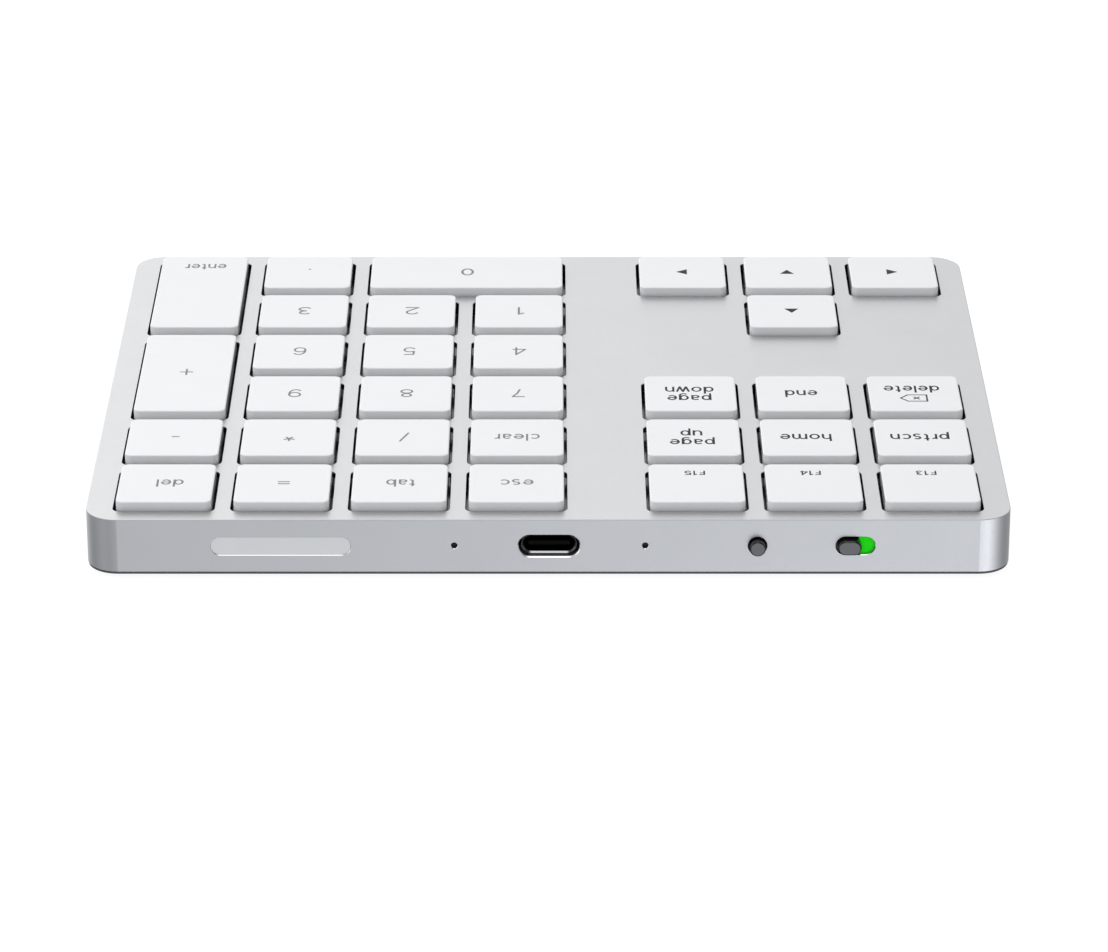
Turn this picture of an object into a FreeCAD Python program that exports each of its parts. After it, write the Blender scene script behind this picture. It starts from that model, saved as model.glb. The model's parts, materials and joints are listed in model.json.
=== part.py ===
import FreeCAD, Part
import math
import os
import Sketcher
from FreeCAD import Placement, Rotation, Vector

# Wireless numeric keypad with a navigation cluster: an aluminium upper case with
# 34 scissor keys, a dark base cover, and a rear wall that carries an antenna
# window, two light openings, a USB-C receptacle, a pairing button and a sliding
# power switch. Millimetres. +X is the user's right, +Y the rear (port) side,
# +Z up. The origin is on the surface it stands on, below the middle of the
# overall box, so everything is moved by shift_y to allow for the button and the
# switch nub that stand out of the rear wall.

os.makedirs("parts", exist_ok=True)
doc = FreeCAD.newDocument("numeric_keypad")
sheet = doc.addObject("Spreadsheet::Sheet", "dims")
sheet.Label = "dims"

DIMS = [
    # upper case
    ("case_width", 149.5), ("case_depth", 118.0), ("case_corner", 5.25),
    ("case_base", 1.2), ("case_high", 9.15), ("case_wall", 1.5),
    ("deck_thick", 1.0), ("case_edge", 0.12), ("proud", 1.5), ("nub_proud", 1.22),
    # key grid
    ("pitch", 19.0), ("num_x", 5.16), ("nav_x", -62.15), ("row_y", 47.55),
    ("hole_size", 16.56), ("hole_double", 35.56), ("hole_corner", 1.4),
    # keycaps
    ("key_size", 15.45), ("key_double", 34.45), ("cap_high", 2.55),
    ("cap_plate", 1.25), ("cap_wall", 0.9), ("cap_corner", 1.2),
    ("cap_edge", 0.22), ("cap_base", 9.30), ("hook_x", 3.2), ("hook_y", 4.5),
    ("hook_long", 1.2), ("hook_thick", 0.6), ("hook_deep", 1.1),
    # support plate and membrane
    ("plate_base", 7.30), ("plate_thick", 0.30), ("plate_width", 143.5),
    ("plate_depth", 110.4), ("sheet_thick", 0.10), ("sheet_width", 143.0),
    ("sheet_depth", 109.8), ("boss_radius", 1.5), ("boss_clear", 0.1),
    ("contact_radius", 2.0), ("thread_radius", 0.55), ("thread_deep", 2.1),
    # domes and scissors
    ("dome_radius", 3.5), ("dome_high", 2.6),
    ("frame_thick", 0.7), ("outer_width", 12.4), ("outer_bar", 1.0),
    ("inner_width", 9.8), ("inner_bar", 0.9), ("frame_long", 12.0),
    ("frame_end", 1.0), ("pin_radius", 0.20), ("pin_hole", 0.25),
    ("frame_tilt", 8.36), ("frame_mid", 9.15),
    # stabiliser wires
    ("wire_radius", 0.25), ("wire_long", 26.0), ("wire_side", 6.51),
    ("wire_top", 10.0), ("wire_leg", 4.3),
    # base cover, feet and screws
    ("cover_base", 0.7), ("cover_flange", 0.5), ("cover_inset", 0.1),
    ("cover_plate", 0.8), ("cover_gap", 0.2), ("foot_x", 67.0),
    ("foot_y", 50.5), ("foot_radius", 5.0), ("foot_high", 0.85),
    ("foot_sunk", 0.15), ("lug_long", 9.1), ("lug_wide", 5.0),
    ("lug_top", 7.2), ("screw_radius", 0.78), ("screw_hole", 0.8),
    ("head_radius", 1.5), ("head_high", 0.65), ("screw_long", 5.0),
    # rear wall features
    ("port_z", 5.59), ("row_z", 5.76), ("window_x", 43.155),
    ("window_long", 22.65),
    ("window_high", 3.1), ("window_z", 5.7), ("window_gap", 0.04), ("window_deep", 0.14),
    ("rim_bevel", 0.1),
    ("pin_left", -15.62), ("pin_right", 15.16), ("pinhole_radius", 0.5),
    ("usb_x", -0.12),
    ("usb_cut_long", 9.9), ("usb_cut_high", 3.68), ("usb_cut_z", 5.71), ("usb_chamfer", 0.18),
    ("shell_lip", 0.24),
    ("shell_long", 8.94), ("shell_high", 3.26), ("shell_wall", 0.3),
    ("shell_deep", 7.3), ("shell_sunk", 1.1), ("tongue_long", 6.7),
    ("tongue_thick", 0.7), ("pair_x", -33.72), ("pair_hole", 1.6),
    ("pair_radius", 1.3), ("pair_flange", 2.2), ("pair_travel", 0.35),
    ("slot_x", -49.51), ("slot_long", 6.3), ("slot_high", 3.1),
    ("nub_long", 3.85), ("nub_high", 2.5), ("nub_travel", 1.94),
    ("pocket_long", 13.2), ("pocket_high", 4.2), ("lip", 0.5),
    ("slide_long", 10.6), ("slide_high", 3.8), ("slide_thick", 0.5),
    ("marker_thick", 0.2),
    # board and battery
    ("board_base", 3.16), ("board_thick", 0.8), ("board_width", 124.0),
    ("board_front", 42.6), ("board_rear", 56.8), ("cell_long", 60.0),
    ("cell_wide", 40.0), ("cell_thick", 3.8), ("cell_base", 2.05),
    ("cell_y", -4.0), ("lead_radius", 0.45), ("lead_z", 5.0),
]
for row, (alias, value) in enumerate(DIMS, start=1):
    sheet.set("A%d" % row, alias)
    sheet.set("B%d" % row, repr(value))
    sheet.setAlias("B%d" % row, alias)
doc.recompute()
V = {alias: float(sheet.get(alias)) for alias, _ in DIMS}
SHIFT = "(-dims.proud / 2)"
DECK_TOP = "(dims.case_base + dims.case_high)"
DECK_LOW = "(dims.case_base + dims.case_high - dims.deck_thick)"
PLATE_TOP = "(dims.plate_base + dims.plate_thick)"
REAR = "(dims.case_depth / 2)"
WALL_IN = "(dims.case_depth / 2 - dims.case_wall)"

finals = []


def value(v):
    """The number that a size stands for: a number, or an expression on the sheet."""
    if isinstance(v, str):
        text = v
        for alias in sorted(V, key=len, reverse=True):
            text = text.replace("dims." + alias, "(%r)" % V[alias])
        return calc(text)
    return float(v)


def calc(text):
    """Plain arithmetic on + - * / and brackets."""
    pos = [0]
    s = text.replace(" ", "")

    def atom():
        c = s[pos[0]]
        if c == "-":
            pos[0] += 1
            return -atom()
        if c == "+":
            pos[0] += 1
            return atom()
        if c == "(":
            pos[0] += 1
            out = total()
            pos[0] += 1
            return out
        start = pos[0]
        while pos[0] < len(s) and (
            s[pos[0]] in "0123456789.e"
            or (s[pos[0]] == "-" and s[pos[0] - 1] == "e")
        ):
            pos[0] += 1
        return float(s[start:pos[0]])

    def product():
        out = atom()
        while pos[0] < len(s) and s[pos[0]] in "*/":
            op = s[pos[0]]
            pos[0] += 1
            right = atom()
            out = out * right if op == "*" else out / right
        return out

    def total():
        out = product()
        while pos[0] < len(s) and s[pos[0]] in "+-":
            op = s[pos[0]]
            pos[0] += 1
            right = product()
            out = out + right if op == "+" else out - right
        return out

    return total()


def bind(obj, prop, v):
    """Sets a property to a number, or binds it to an expression on the sheet."""
    if isinstance(v, str):
        obj.setExpression(prop, v)
    else:
        target = obj
        names = prop.lstrip(".").split(".")
        if len(names) == 1:
            setattr(target, names[0], v)
        else:
            obj.setExpression(prop, repr(float(v)))


def place(obj, x=0.0, y=0.0, z=0.0, rot=None, prop="Placement"):
    """Places an object, with each coordinate a number or an expression."""
    setattr(
        obj, prop,
        Placement(Vector(value(x), value(y), value(z)), rot or Rotation()),
    )
    for axis, v in (("x", x), ("y", y), ("z", z)):
        if isinstance(v, str):
            obj.setExpression(".%s.Base.%s" % (prop, axis), v)


def final(obj, label, x=0.0, y=SHIFT, z=0.0):
    """Names a finished sub-part and puts it in the object's frame."""
    obj.Label = label
    place(obj, x, y, z)
    finals.append(obj)
    return obj


def new_body(name):
    return doc.addObject("PartDesign::Body", name)


def origin(body, role):
    return [f for f in body.Origin.OriginFeatures if f.Role == role][0]


def new_sketch(body, name, plane="XY_Plane", offset=0.0):
    """A sketch on one of the body's own origin planes. offset runs along the
    plane's normal: +Z for XY, -Y for XZ, +X for YZ."""
    sk = body.newObject("Sketcher::SketchObject", name)
    sk.AttachmentSupport = [(origin(body, plane), "")]
    sk.MapMode = "FlatFace"
    sk.AttachmentOffset = Placement(Vector(0, 0, value(offset)), Rotation())
    if isinstance(offset, str):
        sk.setExpression(".AttachmentOffset.Base.z", offset)
    return sk


def datum(sk, kind, args, v, bounds_sign=1):
    """Adds a dimension to a sketch and binds it to an expression."""
    n = sk.addConstraint(Sketcher.Constraint(kind, *args, bounds_sign * value(v)))
    if isinstance(v, str):
        sk.setExpression(
            "Constraints[%d]" % n, ("-(%s)" % v) if bounds_sign < 0 else v
        )
    return n


def pin_point(sk, geo, pos, x, y):
    """Fixes a point of a sketch at x, y from the sketch's origin."""
    for kind, v, axis in (("DistanceX", x, -2), ("DistanceY", y, -1)):
        if abs(value(v)) < 1e-9:
            sk.addConstraint(Sketcher.Constraint("PointOnObject", geo, pos, axis))
        elif value(v) > 0:
            datum(sk, kind, (-1, 1, geo, pos), v)
        else:
            datum(sk, kind, (geo, pos, -1, 1), v, -1)


def rounded(sk, lx, ly, r, cx=0.0, cy=0.0):
    """A rounded rectangle, lx by ly, corner radius r, centred at cx, cy."""
    w, d, c, x, y = (value(t) for t in (lx, ly, r, cx, cy))
    g = sk.GeometryCount
    x0, x1, y0, y1 = x - w / 2, x + w / 2, y - d / 2, y + d / 2
    up = Vector(0, 0, 1)
    q = math.pi / 2
    sk.addGeometry([
        Part.LineSegment(Vector(x0 + c, y0, 0), Vector(x1 - c, y0, 0)),
        Part.ArcOfCircle(Part.Circle(Vector(x1 - c, y0 + c, 0), up, c), -q, 0),
        Part.LineSegment(Vector(x1, y0 + c, 0), Vector(x1, y1 - c, 0)),
        Part.ArcOfCircle(Part.Circle(Vector(x1 - c, y1 - c, 0), up, c), 0, q),
        Part.LineSegment(Vector(x1 - c, y1, 0), Vector(x0 + c, y1, 0)),
        Part.ArcOfCircle(Part.Circle(Vector(x0 + c, y1 - c, 0), up, c), q, 2 * q),
        Part.LineSegment(Vector(x0, y1 - c, 0), Vector(x0, y0 + c, 0)),
        Part.ArcOfCircle(Part.Circle(Vector(x0 + c, y0 + c, 0), up, c), 2 * q, 3 * q),
    ], False)
    C = Sketcher.Constraint
    sk.addConstraint(
        [C("Tangent", g + i, 2, g + (i + 1) % 8, 1) for i in range(8)]
        + [C("Horizontal", g), C("Horizontal", g + 4),
           C("Vertical", g + 2), C("Vertical", g + 6)]
        + [C("Equal", g + 1, g + i) for i in (3, 5, 7)]
    )
    datum(sk, "Radius", (g + 1,), r)
    datum(sk, "DistanceX", (g + 6, 1, g + 2, 1), lx)
    datum(sk, "DistanceY", (g, 1, g + 4, 1), ly)
    pin_point(sk, g + 2, 1, "%s + (%s) / 2" % (cx, lx), "%s - (%s) / 2 + (%s)" % (cy, ly, r))
    return sk


def stadium(sk, long, high, cx=0.0, cy=0.0):
    """A slot with round ends, long along the sketch's first axis."""
    w, d, x, y = (value(t) for t in (long, high, cx, cy))
    g = sk.GeometryCount
    r = d / 2
    a, b = x - w / 2 + r, x + w / 2 - r
    up = Vector(0, 0, 1)
    q = math.pi / 2
    sk.addGeometry([
        Part.LineSegment(Vector(a, y - r, 0), Vector(b, y - r, 0)),
        Part.ArcOfCircle(Part.Circle(Vector(b, y, 0), up, r), -q, q),
        Part.LineSegment(Vector(b, y + r, 0), Vector(a, y + r, 0)),
        Part.ArcOfCircle(Part.Circle(Vector(a, y, 0), up, r), q, 3 * q),
    ], False)
    C = Sketcher.Constraint
    sk.addConstraint(
        [C("Tangent", g + i, 2, g + (i + 1) % 4, 1) for i in range(4)]
        + [C("Horizontal", g)]
    )
    datum(sk, "Radius", (g + 1,), "(%s) / 2" % high)
    pin_point(sk, g + 1, 3, "%s + (%s) / 2 - (%s) / 2" % (cx, long, high), cy)
    datum(sk, "DistanceX", (g + 3, 3, g + 1, 3), "(%s) - (%s)" % (long, high))
    return sk


def circle(sk, r, x=0.0, y=0.0):
    g = sk.addGeometry(
        Part.Circle(Vector(value(x), value(y), 0), Vector(0, 0, 1), value(r)), False
    )
    datum(sk, "Radius", (g,), r)
    pin_point(sk, g, 3, x, y)
    return g


def rect(sk, lx, ly, cx=0.0, cy=0.0):
    """A square-cornered rectangle centred at cx, cy."""
    w, d, x, y = (value(t) for t in (lx, ly, cx, cy))
    pts = [Vector(x + sx * w / 2, y + sy * d / 2, 0)
           for sx, sy in ((-1, -1), (1, -1), (1, 1), (-1, 1))]
    g = sk.GeometryCount
    sk.addGeometry(
        [Part.LineSegment(pts[i], pts[(i + 1) % 4]) for i in range(4)], False
    )
    C = Sketcher.Constraint
    sk.addConstraint(
        [C("Coincident", g + i, 2, g + (i + 1) % 4, 1) for i in range(4)]
        + [C("Horizontal", g), C("Horizontal", g + 2),
           C("Vertical", g + 1), C("Vertical", g + 3)]
    )
    datum(sk, "DistanceX", (g, 1, g, 2), lx)
    datum(sk, "DistanceY", (g + 1, 1, g + 1, 2), ly)
    pin_point(sk, g + 1, 2, "%s + (%s) / 2" % (cx, lx), "%s + (%s) / 2" % (cy, ly))
    return sk


def polygon(sk, points):
    """A closed outline whose corners are each pinned to the sheet."""
    pts = [Vector(value(x), value(y), 0) for x, y in points]
    n = len(pts)
    g = sk.GeometryCount
    sk.addGeometry(
        [Part.LineSegment(pts[i], pts[(i + 1) % n]) for i in range(n)], False
    )
    sk.addConstraint([
        Sketcher.Constraint("Coincident", g + i, 2, g + (i + 1) % n, 1)
        for i in range(n)
    ])
    for i, (x, y) in enumerate(points):
        pin_point(sk, g + i, 1, x, y)
    return sk


def pad(body, sk, length, name, down=False):
    f = body.newObject("PartDesign::Pad", name)
    f.Profile = sk
    bind(f, "Length", length)
    f.Reversed = down
    body.Tip = f
    doc.recompute()
    return f


def pocket(body, sk, length, name):
    """Cuts a sketch out of the body, on whichever side of it the solid lies."""
    before = body.Tip.Shape.Volume
    f = body.newObject("PartDesign::Pocket", name)
    f.Profile = sk
    bind(f, "Length", length)
    body.Tip = f
    doc.recompute()
    if not f.Shape.Volume < before - 1e-7:
        f.Reversed = True
        doc.recompute()
    if not f.Shape.Volume < before - 1e-7:
        raise RuntimeError("%s cuts nothing" % name)
    return f


def repeat(body, feature, name, nx=1, ny=1, dx="dims.pitch", dy="dims.pitch",
           down_y=True):
    """Repeats a feature nx times along X and ny times along Y."""
    f = body.newObject("PartDesign::LinearPattern", name)
    f.Originals = [feature]
    x_axis, y_axis = origin(body, "X_Axis"), origin(body, "Y_Axis")
    if nx > 1:
        f.Direction = (x_axis, [""])
        f.Occurrences = nx
        f.setExpression("Length", "%d * (%s)" % (nx - 1, dx))
        if ny > 1:
            f.Direction2 = (y_axis, [""])
            f.Occurrences2 = ny
            f.Reversed2 = down_y
            f.setExpression("Length2", "%d * (%s)" % (ny - 1, dy))
    else:
        f.Direction = (y_axis, [""])
        f.Occurrences = ny
        f.Reversed = down_y
        f.setExpression("Length", "%d * (%s)" % (ny - 1, dy))
    body.Tip = f
    doc.recompute()
    return f


def dress(body, kind, name, radius, pick):
    """Rounds or bevels the edges that pick() chooses on the body's tip."""
    base = body.Tip
    edges = ["Edge%d" % (i + 1) for i, e in enumerate(base.Shape.Edges) if pick(e)]
    if not edges:
        raise RuntimeError("%s finds no edges" % name)
    f = body.newObject("PartDesign::%s" % kind, name)
    f.Base = (base, edges)
    bind(f, "Radius" if kind == "Fillet" else "Size", radius)
    body.Tip = f
    doc.recompute()
    return f


def vertical(e):
    return len(e.Vertexes) == 2 and e.Length > 0.2 and abs(
        abs((e.Vertexes[1].Point - e.Vertexes[0].Point).normalize().z) - 1
    ) < 1e-6


def at_level(e, level, axis="z"):
    b = e.BoundBox
    lo, hi = (b.ZMin, b.ZMax) if axis == "z" else (b.YMin, b.YMax)
    return abs(lo - level) < 1e-5 and abs(hi - level) < 1e-5


def revolve(body, sk, name, plane_axis="V_Axis"):
    f = body.newObject("PartDesign::Revolution", name)
    f.Profile = sk
    f.ReferenceAxis = (sk, [plane_axis])
    f.Angle = 360.0
    body.Tip = f
    doc.recompute()
    return f


def copies(proto, label, places):
    """One node of identical separate solids: a compound of links to proto.
    Each place is (x, y, z, rotation)."""
    links = []
    for n, (x, y, z, rot) in enumerate(places):
        link = doc.addObject("App::Link", "%s_%02d" % (label, n + 1))
        link.LinkedObject = proto
        place(link, x, y, z, rot)
        links.append(link)
    group = doc.addObject("Part::Compound", label + "_group")
    group.Links = links
    doc.recompute()
    return final(group, label)


def block(name, lx, ly, lz, x, y, z):
    """A box from its least corner."""
    b = doc.addObject("Part::Box", name)
    for prop, v in (("Length", lx), ("Width", ly), ("Height", lz)):
        bind(b, prop, v)
    place(b, x, y, z)
    return b


# ---------------------------------------------------------------- key layout
def num_col(i):
    return "dims.num_x + %s * dims.pitch" % i


def nav_col(i):
    return "dims.nav_x + %s * dims.pitch" % i


def row_at(j):
    return "dims.row_y - %s * dims.pitch" % j


KEYS = []


def key(name, x, y, shape="unit"):
    KEYS.append((name, x, y, shape))


for i, n in enumerate(("f13", "f14", "f15")):
    key("key_" + n, nav_col(i), row_at(0))
for i, n in enumerate(("esc", "tab", "equals", "delete_back")):
    key("key_" + n, num_col(i), row_at(0))
for i, n in enumerate(("print_screen", "home", "page_up")):
    key("key_" + n, nav_col(i), row_at(1))
for i, n in enumerate(("clear", "divide", "multiply", "minus")):
    key("key_" + n, num_col(i), row_at(1))
for i, n in enumerate(("forward_delete", "end", "page_down")):
    key("key_" + n, nav_col(i), row_at(2))
for i, n in enumerate(("7", "8", "9")):
    key("key_" + n, num_col(i), row_at(2))
key("key_plus", num_col(3), row_at(2.5), "tall")
for i, n in enumerate(("4", "5", "6")):
    key("key_" + n, num_col(i), row_at(3))
key("key_arrow_up", nav_col(1), row_at(4))
for i, n in enumerate(("1", "2", "3")):
    key("key_" + n, num_col(i), row_at(4))
key("key_enter", num_col(3), row_at(4.5), "tall")
for i, n in enumerate(("arrow_left", "arrow_down", "arrow_right")):
    key("key_" + n, nav_col(i), row_at(5))
key("key_0", num_col(0.5), row_at(5), "wide")
key("key_decimal", num_col(2), row_at(5))
assert len(KEYS) == 34

# Bosses stand where the webs between the keys cross, so they miss every cap.
BOSS_X = ("dims.nav_x + 0.5 * dims.pitch",
          "(dims.nav_x + 2 * dims.pitch + dims.num_x) / 2",
          "dims.num_x + 0.5 * dims.pitch",
          "dims.num_x + 2.5 * dims.pitch")
BOSS_Y = ("dims.row_y - 0.5 * dims.pitch", "dims.row_y - 2.5 * dims.pitch",
          "dims.row_y - 4.5 * dims.pitch")
BOSSES = [(x, y) for x in BOSS_X for y in BOSS_Y]


def grid_cut(body, level, depth, tag, draw):
    """Cuts one shape per key through a flat piece, group by group. draw adds
    the outline for a unit, tall or wide key to a sketch."""
    groups = (
        ("nav", nav_col(0), row_at(0), "unit", 3, 3),
        ("num", num_col(0), row_at(0), "unit", 3, 5),
        ("side", num_col(3), row_at(0), "unit", 1, 2),
        ("long", num_col(3), row_at(2.5), "tall", 1, 2),
        ("zero", num_col(0.5), row_at(5), "wide", 1, 1),
        ("point", num_col(2), row_at(5), "unit", 1, 1),
        ("arrow", nav_col(1), row_at(4), "unit", 1, 1),
        ("arrows", nav_col(0), row_at(5), "unit", 3, 1),
    )
    for name, x, y, shape, nx, ny in groups:
        sk = new_sketch(body, "%s_%s_outline" % (tag, name), "XY_Plane", level)
        draw(sk, shape, x, y)
        f = pocket(body, sk, depth, "%s_%s" % (tag, name))
        if nx * ny > 1:
            repeat(body, f, "%s_%s_rows" % (tag, name), nx, ny,
                   dy="2 * dims.pitch" if name == "long" else "dims.pitch")


def opening(sk, shape, x, y):
    lx = "dims.hole_double" if shape == "wide" else "dims.hole_size"
    ly = "dims.hole_double" if shape == "tall" else "dims.hole_size"
    rounded(sk, lx, ly, "dims.hole_corner", x, y)


# ------------------------------------------------------------------ top case
case = new_body("case_body")
sk = new_sketch(case, "case_outline", "XY_Plane", "dims.case_base")
rounded(sk, "dims.case_width", "dims.case_depth", "dims.case_corner")
pad(case, sk, "dims.case_high", "case_block")
top_z = value(DECK_TOP)
dress(case, "Fillet", "case_top_edge", "dims.case_edge",
      lambda e: at_level(e, top_z))
sk = new_sketch(case, "case_cavity_outline", "XY_Plane", "dims.case_base")
rounded(sk, "dims.case_width - 2 * dims.case_wall",
        "dims.case_depth - 2 * dims.case_wall",
        "dims.case_corner - dims.case_wall")
pocket(case, sk, "dims.case_high - dims.deck_thick", "case_cavity")
grid_cut(case, DECK_TOP, "dims.deck_thick + 0.2", "opening", opening)
# bosses that the support plate is screwed to
sk = new_sketch(case, "boss_outline", "XY_Plane", PLATE_TOP)
for x, y in BOSSES:
    circle(sk, "dims.boss_radius", x, y)
pad(case, sk, DECK_LOW + " - " + PLATE_TOP, "bosses")
sk = new_sketch(case, "boss_thread_outline", "XY_Plane", PLATE_TOP)
for x, y in BOSSES:
    circle(sk, "dims.thread_radius", x, y)
pocket(case, sk, "dims.thread_deep", "boss_threads")
# lugs on the side walls that take the cover screws
LUG_Z = "(dims.cover_base + dims.cover_flange + dims.cover_plate)"
lug_x = "(dims.case_width / 2 - dims.case_wall + 0.35 - dims.lug_long / 2)"
sk = new_sketch(case, "lug_outline", "XY_Plane", LUG_Z)
rect(sk, "dims.lug_long", "dims.lug_wide", "-" + lug_x, "-dims.foot_y")
f = pad(case, sk, "dims.lug_top - " + LUG_Z, "lug")
repeat(case, f, "lugs", 2, 2, "2 * " + lug_x, "2 * dims.foot_y", down_y=False)
sk = new_sketch(case, "lug_hole_outline", "XY_Plane", LUG_Z)
circle(sk, "dims.screw_hole", "-dims.foot_x", "-dims.foot_y")
f = pocket(case, sk, "dims.lug_top - " + LUG_Z, "lug_hole")
repeat(case, f, "lug_holes", 2, 2, "2 * dims.foot_x", "2 * dims.foot_y",
       down_y=False)
# rear wall: the XZ plane faces -Y, so a plane at y = +a has offset -a
OUT = "-(dims.case_depth / 2 + 0.1)"
THROUGH = "dims.case_wall + 0.2"
sk = new_sketch(case, "window_outline", "XZ_Plane", OUT)
stadium(sk, "dims.window_long", "dims.window_high", "dims.window_x", "dims.window_z")
pocket(case, sk, THROUGH, "window_cut")
sk = new_sketch(case, "pinhole_outline", "XZ_Plane", OUT)
circle(sk, "dims.pinhole_radius", "dims.pin_left", "dims.row_z")
circle(sk, "dims.pinhole_radius", "dims.pin_right", "dims.row_z")
circle(sk, "dims.pair_hole", "dims.pair_x", "dims.row_z")
pocket(case, sk, THROUGH, "round_cuts")
sk = new_sketch(case, "usb_outline", "XZ_Plane", OUT)
stadium(sk, "dims.usb_cut_long", "dims.usb_cut_high", "dims.usb_x",
        "dims.usb_cut_z")
pocket(case, sk, THROUGH, "usb_cut")
sk = new_sketch(case, "slot_outline", "XZ_Plane", OUT)
stadium(sk, "dims.slot_long", "dims.slot_high", "dims.slot_x", "dims.row_z")
pocket(case, sk, THROUGH, "slot_cut")
# pocket inside the wall that the switch slider runs in, leaving a thin lip
sk = new_sketch(case, "slider_pocket_outline", "XZ_Plane",
                "-(dims.case_depth / 2 - dims.lip)")
rect(sk, "dims.pocket_long", "dims.pocket_high", "dims.slot_x", "dims.row_z")
before = case.Tip.Shape.Volume
f = case.newObject("PartDesign::Pocket", "slider_pocket")
f.Profile = sk
f.setExpression("Length", "dims.case_wall - dims.lip + 0.3")
case.Tip = f
doc.recompute()
probe = Vector(value("dims.slot_x") + 5.5, value(REAR) - 0.2, value("dims.row_z"))
if not f.Shape.isInside(probe, 1e-4, False):
    f.Reversed = True
    doc.recompute()
assert f.Shape.isInside(probe, 1e-4, False), "slider pocket breaks through"
assert f.Shape.Volume < before - 10.0, "slider pocket cuts nothing"
y_out = value(REAR)


def mouth(e):
    """Edges on the rear face around the receptacle cut-out and the pinholes."""
    b = e.BoundBox
    mid = (b.XMin + b.XMax) / 2
    return at_level(e, y_out, "y") and abs(mid) < 6 and b.XLength < 12 and (
        abs((b.ZMin + b.ZMax) / 2 - V["port_z"]) < 2.5
    )


def pinhole_rim(e):
    b = e.BoundBox
    mid = (b.XMin + b.XMax) / 2
    return at_level(e, y_out, "y") and b.XLength < 2 and (
        abs(mid - V["pin_left"]) < 1 or abs(mid - V["pin_right"]) < 1
    )


def window_rim(e):
    b = e.BoundBox
    mid = (b.XMin + b.XMax) / 2
    return at_level(e, y_out, "y") and abs(mid - V["window_x"]) < 12 and (
        abs((b.ZMin + b.ZMax) / 2 - V["window_z"]) < 2.0
    )


def slot_rim(e):
    b = e.BoundBox
    mid = (b.XMin + b.XMax) / 2
    return at_level(e, y_out, "y") and abs(mid - V["slot_x"]) < 4 and (
        abs((b.ZMin + b.ZMax) / 2 - V["row_z"]) < 2.0
    )


dress(case, "Chamfer", "usb_bevel", "dims.usb_chamfer", mouth)
dress(case, "Chamfer", "pinhole_bevel", 0.1, pinhole_rim)
dress(case, "Chamfer", "window_bevel", "dims.rim_bevel", window_rim)
dress(case, "Chamfer", "slot_bevel", "dims.rim_bevel", slot_rim)
final(case, "top_case")

# -------------------------------------------------------------- bottom cover
cover = new_body("cover_body")
sk = new_sketch(cover, "flange_outline", "XY_Plane", "dims.cover_base")
rounded(sk, "dims.case_width - 2 * dims.cover_inset",
        "dims.case_depth - 2 * dims.cover_inset",
        "dims.case_corner - dims.cover_inset")
pad(cover, sk, "dims.cover_flange", "flange")
low_z = V["cover_base"]
dress(cover, "Fillet", "cover_low_edge", 0.15, lambda e: at_level(e, low_z))
sk = new_sketch(cover, "inner_plate_outline", "XY_Plane",
                "dims.cover_base + dims.cover_flange")
rounded(sk, "dims.case_width - 2 * dims.case_wall - 2 * dims.cover_gap",
        "dims.case_depth - 2 * dims.case_wall - 2 * dims.cover_gap",
        "dims.case_corner - dims.case_wall - dims.cover_gap")
pad(cover, sk, "dims.cover_plate", "inner_plate")
# low fence round the battery and posts under the board
sk = new_sketch(cover, "fence_outline", "XY_Plane", LUG_Z)
rounded(sk, "dims.cell_long + 3.2", "dims.cell_wide + 3.2", 2.6, 0.0, "dims.cell_y")
rounded(sk, "dims.cell_long + 1.0", "dims.cell_wide + 1.0", 1.5, 0.0, "dims.cell_y")
pad(cover, sk, 2.0, "fence")
sk = new_sketch(cover, "post_outline", "XY_Plane", LUG_Z)
for x, y in ((-58.0, 50.0), (-24.0, 46.0), (24.0, 46.0), (58.0, 50.0)):
    circle(sk, 1.8, x, y)
pad(cover, sk, "dims.board_base - " + LUG_Z, "board_posts")
sk = new_sketch(cover, "foot_recess_outline", "XY_Plane", "dims.cover_base")
circle(sk, "dims.foot_radius + 0.1", "-dims.foot_x", "-dims.foot_y")
f = pocket(cover, sk, "dims.foot_sunk", "foot_recess")
repeat(cover, f, "foot_recesses", 2, 2, "2 * dims.foot_x", "2 * dims.foot_y",
       down_y=False)
sk = new_sketch(cover, "head_recess_outline", "XY_Plane", "dims.cover_base")
circle(sk, "dims.head_radius + 0.1", "-dims.foot_x", "-dims.foot_y")
f = pocket(cover, sk, "dims.foot_sunk + dims.head_high", "head_recess")
repeat(cover, f, "head_recesses", 2, 2, "2 * dims.foot_x", "2 * dims.foot_y",
       down_y=False)
sk = new_sketch(cover, "cover_hole_outline", "XY_Plane", "dims.cover_base")
circle(sk, "dims.screw_hole + 0.1", "-dims.foot_x", "-dims.foot_y")
f = pocket(cover, sk, 2.0, "cover_hole")
repeat(cover, f, "cover_holes", 2, 2, "2 * dims.foot_x", "2 * dims.foot_y",
       down_y=False)
final(cover, "bottom_cover")

CORNERS = [(sx + "dims.foot_x", sy + "dims.foot_y") for sx in ("-", "")
           for sy in ("-", "")]

# ------------------------------------------------------------- feet and screws
foot = new_body("foot_proto")
sk = new_sketch(foot, "foot_outline")
circle(sk, "dims.foot_radius")
pad(foot, sk, "dims.foot_high", "foot_pad")
dress(foot, "Fillet", "foot_edge", 0.25, lambda e: at_level(e, 0.0))
copies(foot, "rubber_feet", [(x, y, 0.0, None) for x, y in CORNERS])


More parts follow.
